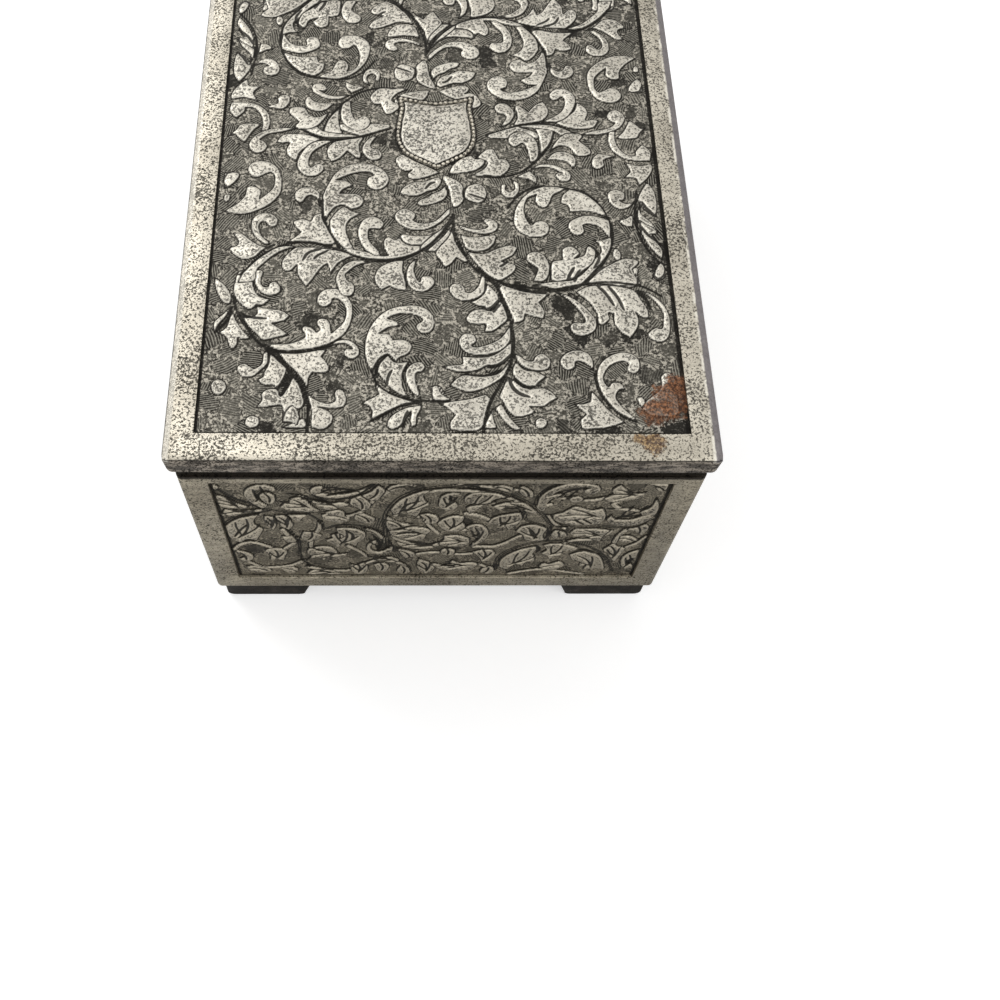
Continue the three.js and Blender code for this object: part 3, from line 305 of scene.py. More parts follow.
def rusted(board, place, tone, spots, colour):
    """Flaky rust round some spots on the lid."""
    ragged = board.noise(place, 0.9, 5, 0.7)
    flaky = board.noise(place, 3.0, 3, 0.7)
    for x, y, radius in spots:
        inputs = {0: place, 1: (x, y, LID_TOP - 0.1)}
        gap = board.add("ShaderNodeVectorMath", {"operation": "DISTANCE"}, inputs, out=1)
        share = (gap * (1 / radius) + (ragged - 0.5) * 2.0).falling(0.70, 1.05)
        brown = board.blend(flaky.rising(0.42, 0.66), DARK_RUST, colour)
        tone = board.blend(share * 0.85, tone, brown)
    return tone


def edge_light_and_shade(board, place, tone):
    """The lid's edges: painted highlight on the left slope, painted shade on the right, painted shade lines
    at the front and far left.
    """
    x, y, z = board.axes(place)
    across = x + (board.noise(place, 1.5, 3, 0.6) - 0.5) * 0.3
    patchy = board.noise(place, 0.5, 3, 0.6)
    top = z.rising(44.0, 44.2)
    # Painted highlight: the left slope, and a patchy band at the right slope's inner edge
    pale = across.falling(-LID_FLAT_HALF - 0.25, -LID_FLAT_HALF) * 0.7
    pale = pale + across.rising(LID_FLAT_HALF - 0.4, LID_FLAT_HALF - 0.2) * patchy.rising(0.4, 0.55)
    tone = board.blend(pale * top, tone, BRIGHT_SILVER)
    # Painted shade over the right slope
    dim = board.blend(patchy, (0.17, 0.155, 0.16), (0.27, 0.25, 0.245))
    tone = board.blend(across.rising(LID_FLAT_HALF - 0.1, LID_FLAT_HALF + 0.1) * top, tone, dim)
    # Painted shade lines under the front's top edge and along the far left edge
    line = z.rising(44.38, 44.44) * z.falling(44.58, 44.66) * y.falling(LID_FRONT + 0.2, LID_FRONT + 0.3)
    return board.blend((line + across.falling(-32.5, -32.38)) * 0.8, tone, SOOT_AND_SHADE)


def silver_finish(name, levels, tints, share, worn=0.15, spots=(), edged=False):
    """Plain cast silver plate: a patchy lower tint gives way to an even upper one between two levels,
    painting shade and light by height.
    """
    board = Board(name)
    place = board.place()
    pits = pitting(board, place, share)
    tone, grain = plate_tone(board, place, pits, 1.0)
    ragged = board.noise(place, 0.8, 4, 0.6)
    upper = (board.axes(place)[2] + ragged * 0.5).rising(*levels)
    patches = board.noise(board.stretched(place, (0.5, 0.5, 1.5)), 1.1, 4, 0.65).rising(0.44, 0.60)
    low = board.blend(patches, shaded(tints[0], 1 - worn), shaded(tints[0], 1 + worn))
    # The tints below and above the levels are painted shade and light by height
    tone = board.blend(1.0, tone, board.blend(upper, low, tints[1]), "MULTIPLY")
    tone = rusted(board, place, tone, spots, TAN_RUST)
    if edged:
        tone = edge_light_and_shade(board, place, tone)
    scratch = board.noise(board.stretched(place, (0.3, 4.0, 4.0)), 2.0, 2).rising(0.5, 0.8)
    height = 0.5 + scratch * 0.06 + grain * 0.15 - pits * 0.5
    return board.finish(
        Base_Color=tone,
        Metallic=0.95 - pits * 0.4,
        Specular_IOR_Level=0.1,
        Roughness=0.34 + grain * 0.14 + pits * 0.3,
        Normal=board.bumped(height, 0.10),
    )


def tarnished_finish(name, colour, worn, metallic=0.6, rough=0.5):
    """Dark toned metal with lighter worn patches."""
    board = Board(name)
    place = board.place()
    patches = board.noise(place, 0.35, 5, 0.6).rising(0.48, 0.72)
    grit = board.noise(place, 4.0, 4, 0.65)
    tone = board.blend(patches, colour, worn)
    return board.finish(
        Base_Color=board.blend(grit.rising(0.35, 0.6) * 0.6, SOOT_AND_SHADE, tone),
        Metallic=metallic,
        Roughness=rough + grit * 0.3 - patches * 0.1,
        Normal=board.bumped(grit, 0.10),
    )


def machined_finish(name, colour, dark, lines=(1, 1, 12), metallic=1.0, rough=0.28):
    """Turned or ground metal: fine tool lines, faint stains and dulled patches."""
    board = Board(name)
    place = board.place()
    tool = board.noise(board.stretched(place, lines), 2.2, 3, 0.6)
    stain = board.noise(place, 0.45, 4).rising(0.42, 0.75)
    specks = board.cells(place, 1.3).falling(0.06, 0.14)
    tone = board.blend(stain * 0.55, colour, dark)
    return board.finish(
        Base_Color=board.blend(specks * 0.5, tone, shaded(dark, 0.4)),
        Metallic=metallic,
        Roughness=rough + tool * 0.14 + stain * 0.16,
        Normal=board.bumped(tool, 0.012),
    )


def velvet_finish(name, colour):
    """Short pile: crushed patches and single fibres catching the light."""
    board = Board(name)
    place = board.place()
    crush = board.noise(place, 0.16, 4, 0.6).rising(0.35, 0.68)
    fibres = board.noise(board.stretched(place, (6, 6, 2)), 1.6, 4, 0.7)
    tone = board.blend(crush, shaded(colour, 0.55), shaded(colour, 1.25))
    tone = board.blend(fibres.rising(0.35, 0.7) * 0.45, tone, shaded(colour, 2.1))
    return board.finish(
        Base_Color=tone,
        Roughness=0.9,
        Sheen_Weight=0.5,
        Sheen_Roughness=0.35,
        Sheen_Tint=(0.75, 0.30, 0.34),
        Normal=board.bumped(fibres * 0.7 + crush * 0.3, 0.10),
    )


def board_finish(name):
    """Stained fibreboard: long fibres with a few darker streaks."""
    board = Board(name)
    place = board.place()
    grain = board.noise(board.stretched(place, (0.25, 1.5, 6.0)), 1.4, 5, 0.6)
    streak = board.noise(board.stretched(place, (0.06, 1.0, 1.6)), 0.8, 3).rising(0.4, 0.7)
    tone = board.blend(grain.rising(0.3, 0.7), (0.050, 0.024, 0.012), (0.125, 0.062, 0.030))
    return board.finish(
        Base_Color=board.blend(streak * 0.5, tone, (0.030, 0.014, 0.008)),
        Roughness=0.55 + grain * 0.2,
        Normal=board.bumped(grain, 0.05),
    )


def zinc_finish(name):
    """Dull pressure casting with a grainy skin."""
    board = Board(name)
    place = board.place()
    grain = board.noise(place, 3.2, 4, 0.6)
    bloom = board.noise(place, 0.25, 4).rising(0.38, 0.7)
    tone = board.blend(bloom, (0.300, 0.305, 0.310), (0.470, 0.475, 0.480))
    return board.finish(
        Base_Color=board.blend(grain.falling(0.32, 0.42) * 0.5, tone, (0.11, 0.11, 0.11)),
        Metallic=0.85,
        Roughness=0.42 + grain * 0.25,
        Normal=board.bumped(grain, 0.04),
    )


# Tints below and above each casting's levels, all painted shade and light, then the finishes
# Body: walls darker than the lid's top, and the neck under the lid's overhang near black, as painted shade
BODY_TINTS = ((0.64, 0.605, 0.535), (0.05, 0.045, 0.04))
# Lid: sides and front strip darker than the bright top, as painted shade
LID_TINTS = ((0.42, 0.39, 0.37), (0.90, 0.88, 0.84))
# Beads: undersides darker than their bright tops, as painted shade
BEAD_TINTS = ((0.30, 0.29, 0.27), (1.0, 0.98, 0.95))
silver = silver_finish("silver_plate", (39.3, 39.8), BODY_TINTS, 0.26)
lid_silver = silver_finish("lid_silver_plate", (44.85, 44.95), LID_TINTS, 0.50, 0.55, FRAME_RUST, True)
bead_silver = silver_finish("bead_silver_plate", (44.50, 44.72), BEAD_TINTS, 0.05)
# Near-black feet with lighter patches
foot_metal = tarnished_finish("near_black_feet", (0.035, 0.028, 0.022), (0.110, 0.088, 0.066))
hinge_metal = tarnished_finish("hinge_tarnish", (0.200, 0.185, 0.155), (0.360, 0.335, 0.285), 0.9, 0.36)
base_metal = tarnished_finish("base_sheet", (0.230, 0.220, 0.195), (0.340, 0.325, 0.285), 0.9, 0.40)
screw_steel = machined_finish("screw_steel", (0.520, 0.520, 0.510), (0.200, 0.190, 0.170), (9, 9, 1))
steel = machined_finish("ground_steel", (0.560, 0.560, 0.550), (0.270, 0.260, 0.245), (1, 8, 8))
comb_steel = machined_finish("comb_steel", (0.60, 0.60, 0.59), (0.33, 0.32, 0.30), (9, 0.6, 3), rough=0.22)
brass = machined_finish("satin_brass", (0.620, 0.440, 0.160), (0.290, 0.185, 0.060), (9, 1, 1))
blued = machined_finish("blued_spring", (0.100, 0.130, 0.220), (0.050, 0.055, 0.085), (1, 1, 9))
velvet = velvet_finish("red_velvet", (0.110, 0.008, 0.018))
stained_board = board_finish("stained_board")
zinc = zinc_finish("cast_zinc")


FULL_TURN = 6.283


def hatching(board, place, first, second):
    """Fine curved lines in patches with directions of their own, then the patches' tones and borders."""
    bend = board.noise(place, 0.22, 1, 0.4) * 26 + board.noise(place, 1.6, 2, 0.5) * 2.0
    ragged = board.moved(place, board.stretched(board.noise(place, 1.1, 3, 0.6, out=1), (1.4, 1.4, 1.4)))
    kind = board.cells(ragged, 0.38, out=1)
    turn, bare, tone = [board.add("ShaderNodeSeparateColor", {}, {0: kind}, out) for out in range(3)]
    border = board.cells(ragged, 0.38, "DISTANCE_TO_EDGE").falling(0.03, 0.15)
    parts = board.axes(place)
    angle = turn * FULL_TURN
    run = angle.math("COSINE") * parts[first] + angle.math("SINE") * parts[second]
    lines = (run * 20.5 + bend).math("SINE").rising(-0.1, 0.8)
    return lines * bare.rising(0.15, 0.30) * (1 - border), tone, border


def relief_finish(name, first, second, shade=1.0, lift=1.0, tint=(1, 1, 1), spots=()):
    """Pale speckled leaves over a dark hatched ground, every groove darkened by tarnish and painted shade.

    first and second are the numbers of the two axes along the panel; lift brightens the ground.
    """
    board = Board(name)
    place = board.place()
    leaf = board.attribute("leaf")
    groove = board.attribute("groove")
    fray = board.noise(place, 3.0, 3, 0.65) - 0.5
    raised = (leaf + fray * 0.12).rising(-0.03, 0.06)
    groove_tarnish_and_shade = (groove + fray * 0.10).falling(0.07, 0.16)
    pits = pitting(board, place, 0.62)
    plate, grain = plate_tone(board, place, pits, shade)
    # Paler leaf rims: partly worn edges, partly painted highlight
    edge = (groove + fray * 0.15).falling(0.18, 0.34) * raised
    plate = board.blend(edge * 0.6, plate, shaded(BRIGHT_SILVER, (1 + shade) / 2))
    hatch, patch, border = hatching(board, place, first, second)
    mottle = (patch * 0.5 + board.noise(place, 0.45, 4, 0.65)).rising(0.50, 0.95)
    sparkle = board.noise(place, 3.2, 3, 0.70)
    # The ground's tones: darkened by shade as painted shade, lightened by lift as painted reflection
    dark, pale = shaded((0.026, 0.024, 0.020), shade * lift), shaded((0.105, 0.098, 0.081), shade * lift)
    ground = board.blend(mottle, dark, pale)
    ground = board.blend(hatch * 0.75, ground, shaded((0.360, 0.340, 0.285), shade))
    flecks = (sparkle + border * 0.08).rising(0.54, 0.65) * (0.16 + mottle * 0.4 + border * 0.45)
    ground = board.blend(flecks.math("MINIMUM", 0.9), ground, shaded(CLEAN_SILVER, shade))
    ground = board.blend(sparkle.falling(0.36, 0.46) * 0.6, ground, shaded(SOOT_AND_SHADE, shade))
    tone = board.blend(raised, ground, plate)
    # Grooves darkened: tarnish in the hollows, and painted shade
    tone = board.blend(groove_tarnish_and_shade * 0.93, tone, shaded(SOOT_AND_SHADE, shade))
    tone = board.blend(1.0, tone, tint, "MULTIPLY")
    tone = rusted(board, place, tone, spots, RUST)
    height = 0.5 + (hatch * 0.3 + flecks * 0.2) * (1 - raised) + grain * 0.15 - pits * 0.35 * raised
    return board.finish(
        Base_Color=tone,
        Metallic=0.62 + raised * 0.33,
        Specular_IOR_Level=0.1,
        Roughness=0.50 - raised * 0.12 + grain * 0.12,
        Normal=board.bumped(height, 0.10),
    )


lid_relief = relief_finish("lid_relief", 0, 1, spots=PANEL_RUST)
# Walls: shade darkens the whole relief as painted shade, lift lightens its ground as painted reflection; the
# warm tint is tarnish
WALL_LOOK = {"shade": 0.74, "lift": 2.0, "tint": (1.0, 0.95, 0.86)}
end_relief = relief_finish("end_relief", 0, 2, **WALL_LOOK)
side_relief = relief_finish("side_relief", 1, 2, **WALL_LOOK)


# Ornament: leaves, stems and cuts drawn as distance fields on a fine grid, in millimetres
GRID_STEP = 0.2
FAR = 9.0
MARGIN = 1.2
EDGE_ROUNDING = 0.16
GROOVE_WIDTH, GROOVE_DEPTH = 0.18, 0.04
SMALLEST_RIBBED, SMALLEST_FANNED = 0.9, 1.5
RIB_WIDTH, FAN_WIDTH = 0.07, 0.05


def curve_through(points, closed=False, steps=4):
    """A smooth line through the points."""
    line = np.asarray(points, float)
    if closed:
        padded = np.vstack([line[-1:], line, line[:2]])
    else:
        padded = np.vstack([2 * line[0] - line[1], line, 2 * line[-1] - line[-2]])
    share = np.linspace(0, 1, steps, endpoint=False)[:, None]
    spans = []
    for a, b, c, d in zip(padded, padded[1:], padded[2:], padded[3:]):
        bend = (2 * a - 5 * b + 4 * c - d) * share**2 + (3 * b - a - 3 * c + d) * share**3
        spans.append(b + 0.5 * ((c - a) * share + bend))
    return np.vstack(spans if closed else [*spans, line[-1:]])


def read_points(text):
    """Places from words such as 1.2,3.4 and the numbers of those marked with ! as sharp tips."""
    words = text.split()
    spots = np.array([[float(part) for part in word.rstrip("!").split(",")] for word in words])
    return spots, [place for place, word in enumerate(words) if word.endswith("!")]


def leaf_outline(spots, tips):
    """A closed outline, smooth between its tips."""
    if not tips:
        return curve_through(spots, closed=True)
    ring = np.vstack([spots[tips[0]:], spots[: tips[0] + 1]])
    ends = [tip - tips[0] for tip in tips] + [len(spots)]
    runs = [curve_through(ring[a : b + 1])[:-1] for a, b in zip(ends, ends[1:])]
    return np.vstack(runs)


class Relief:
    """A rectangle of relief: cover is the depth inside the leaves, line the distance to a groove."""

    def __init__(self, low, high):
        counts = [round((b - a) / GRID_STEP) + 1 for a, b in zip(low, high)]
        self.u = np.linspace(low[0], high[0], counts[0])
        self.v = np.linspace(low[1], high[1], counts[1])
        self.cover = np.full((counts[1], counts[0]), -FAR)
        self.line = np.full((counts[1], counts[0]), FAR)

    def near(self, points, margin=MARGIN):
        """The part of the grid round some points, and its places, or None outside the rectangle."""
        low, high = points.min(0) - margin, points.max(0) + margin
        us = np.flatnonzero((self.u >= low[0]) & (self.u <= high[0]))
        vs = np.flatnonzero((self.v >= low[1]) & (self.v <= high[1]))
        if not len(us) or not len(vs):
            return None, None
        part = (slice(vs[0], vs[-1] + 1), slice(us[0], us[-1] + 1))
        u, v = np.meshgrid(self.u[part[1]], self.v[part[0]])
        return part, np.stack([u, v], -1)

    def lay(self, part, field):
        """A raised form over what is there: its edge becomes a groove beside it."""
        line, cover = self.line[part], self.cover[part]
        self.line[part] = np.where(field > 0, field, np.minimum(line, -field))
        self.cover[part] = np.maximum(cover, field)

    def leaf(self, outline):
        """A raised form with a closed outline."""
        part, places = self.near(outline)
        if part is None:
            return
        gap = np.full(places.shape[:2], FAR)
        inside = np.zeros(places.shape[:2], bool)
        for a, b in zip(outline, np.roll(outline, -1, 0)):
            gap = np.minimum(gap, segment_distance(places, a, b)[0])
            if a[1] != b[1]:
                crossing = (places[..., 1] - a[1]) / (b[1] - a[1])
                between = (a[1] > places[..., 1]) != (b[1] > places[..., 1])
                inside ^= between & (places[..., 0] < a[0] + crossing * (b[0] - a[0]))
        self.lay(part, np.where(inside, gap, -gap))

    def stem(self, line, start, end, raised=False):
        """A stem with grooves beside it, sunk or raised; its half width goes from start to end."""
        part, places = self.near(line)
        if part is None:
            return
        field = np.full(places.shape[:2], -FAR)
        count = len(line) - 1
        for place, (a, b) in enumerate(zip(line, line[1:])):
            gap, along = segment_distance(places, a, b)
            width = start + (end - start) * (place + along) / count
            field = np.maximum(field, width - gap)
        if raised:
            self.lay(part, field)
            return
        self.line[part] = np.where(field > 0, field, np.minimum(self.line[part], -field))
        self.cover[part] = np.minimum(self.cover[part], -field)

    def vein(self, outline):
        """Fine grooves in a leaf: a rib along its middle, and in a large one two that fan out beside it."""
        middle = outline.mean(0)
        lengths, ways = np.linalg.eigh(np.cov((outline - middle).T))
        reach = 1.05 * math.sqrt(lengths[1])
        if reach < SMALLEST_RIBBED:
            return
        way, side = ways[:, 1], ways[:, 0]
        bow = [(share, 0.22 * (share * share - 0.4)) for share in (-1, -0.4, 0.3, 1)]
        spots = [middle + reach * (way * share + side * rise) for share, rise in bow]
        self.cut(curve_through(spots), RIB_WIDTH)
        if reach < SMALLEST_FANNED:
            return
        half = 1.8 * math.sqrt(lengths[0])
        for turn in (-half, half):
            fan = [(-0.75, 0), (0, 0.36), (0.55, 0.52)]
            self.cut(curve_through([middle + reach * way * a + turn * side * b for a, b in fan]), FAN_WIDTH)

    def cut(self, line, width):
        """A groove that runs out to a point at both ends."""
        part, places = self.near(line)
        if part is None:
            return
        count = len(line) - 1
        for place, (a, b) in enumerate(zip(line, line[1:])):
            gap, along = segment_distance(places, a, b)
            share = (place + along) / count
            narrow = width * np.minimum(1, 4 * np.minimum(share, 1 - share) + 0.3)
            self.line[part] = np.minimum(self.line[part], np.maximum(0, gap - narrow))

    def ball(self, place, radius):
        """A raised round boss."""
        part, places = self.near(np.array([place]), radius + MARGIN)
        if part is not None:
            self.lay(part, radius - np.hypot(*(places - np.array(place)).transpose(2, 0, 1)))

    def rim(self, **widths):
        """A groove inside the rectangle's own edges; the keywords are the sides."""
        u, v = np.meshgrid(self.u, self.v)
        gaps = {"left": u - self.u[0], "right": self.u[-1] - u, "low": v - self.v[0], "high": self.v[-1] - v}
        for side, width in widths.items():
            self.line = np.minimum(self.line, np.maximum(0, gaps[side] - width))

    def heights(self, depth):
        """Flat-topped leaves with rounded edges over a ground that dips beside them."""
        raised = depth * (1 - np.exp(-np.maximum(self.line, 0) / EDGE_ROUNDING))
        hollow = -GROOVE_DEPTH * np.exp(-((self.line / GROOVE_WIDTH) ** 2))
        return np.where(self.cover > 0, raised, hollow)


def segment_distance(places, a, b):
    """Distance to a segment, and how far along it the nearest point is."""
    run = b - a
    length = max(float(run @ run), 1e-9)
    along = np.clip(((places - a) @ run) / length, 0, 1)
    return np.linalg.norm(places - a - along[..., None] * run, axis=-1), along


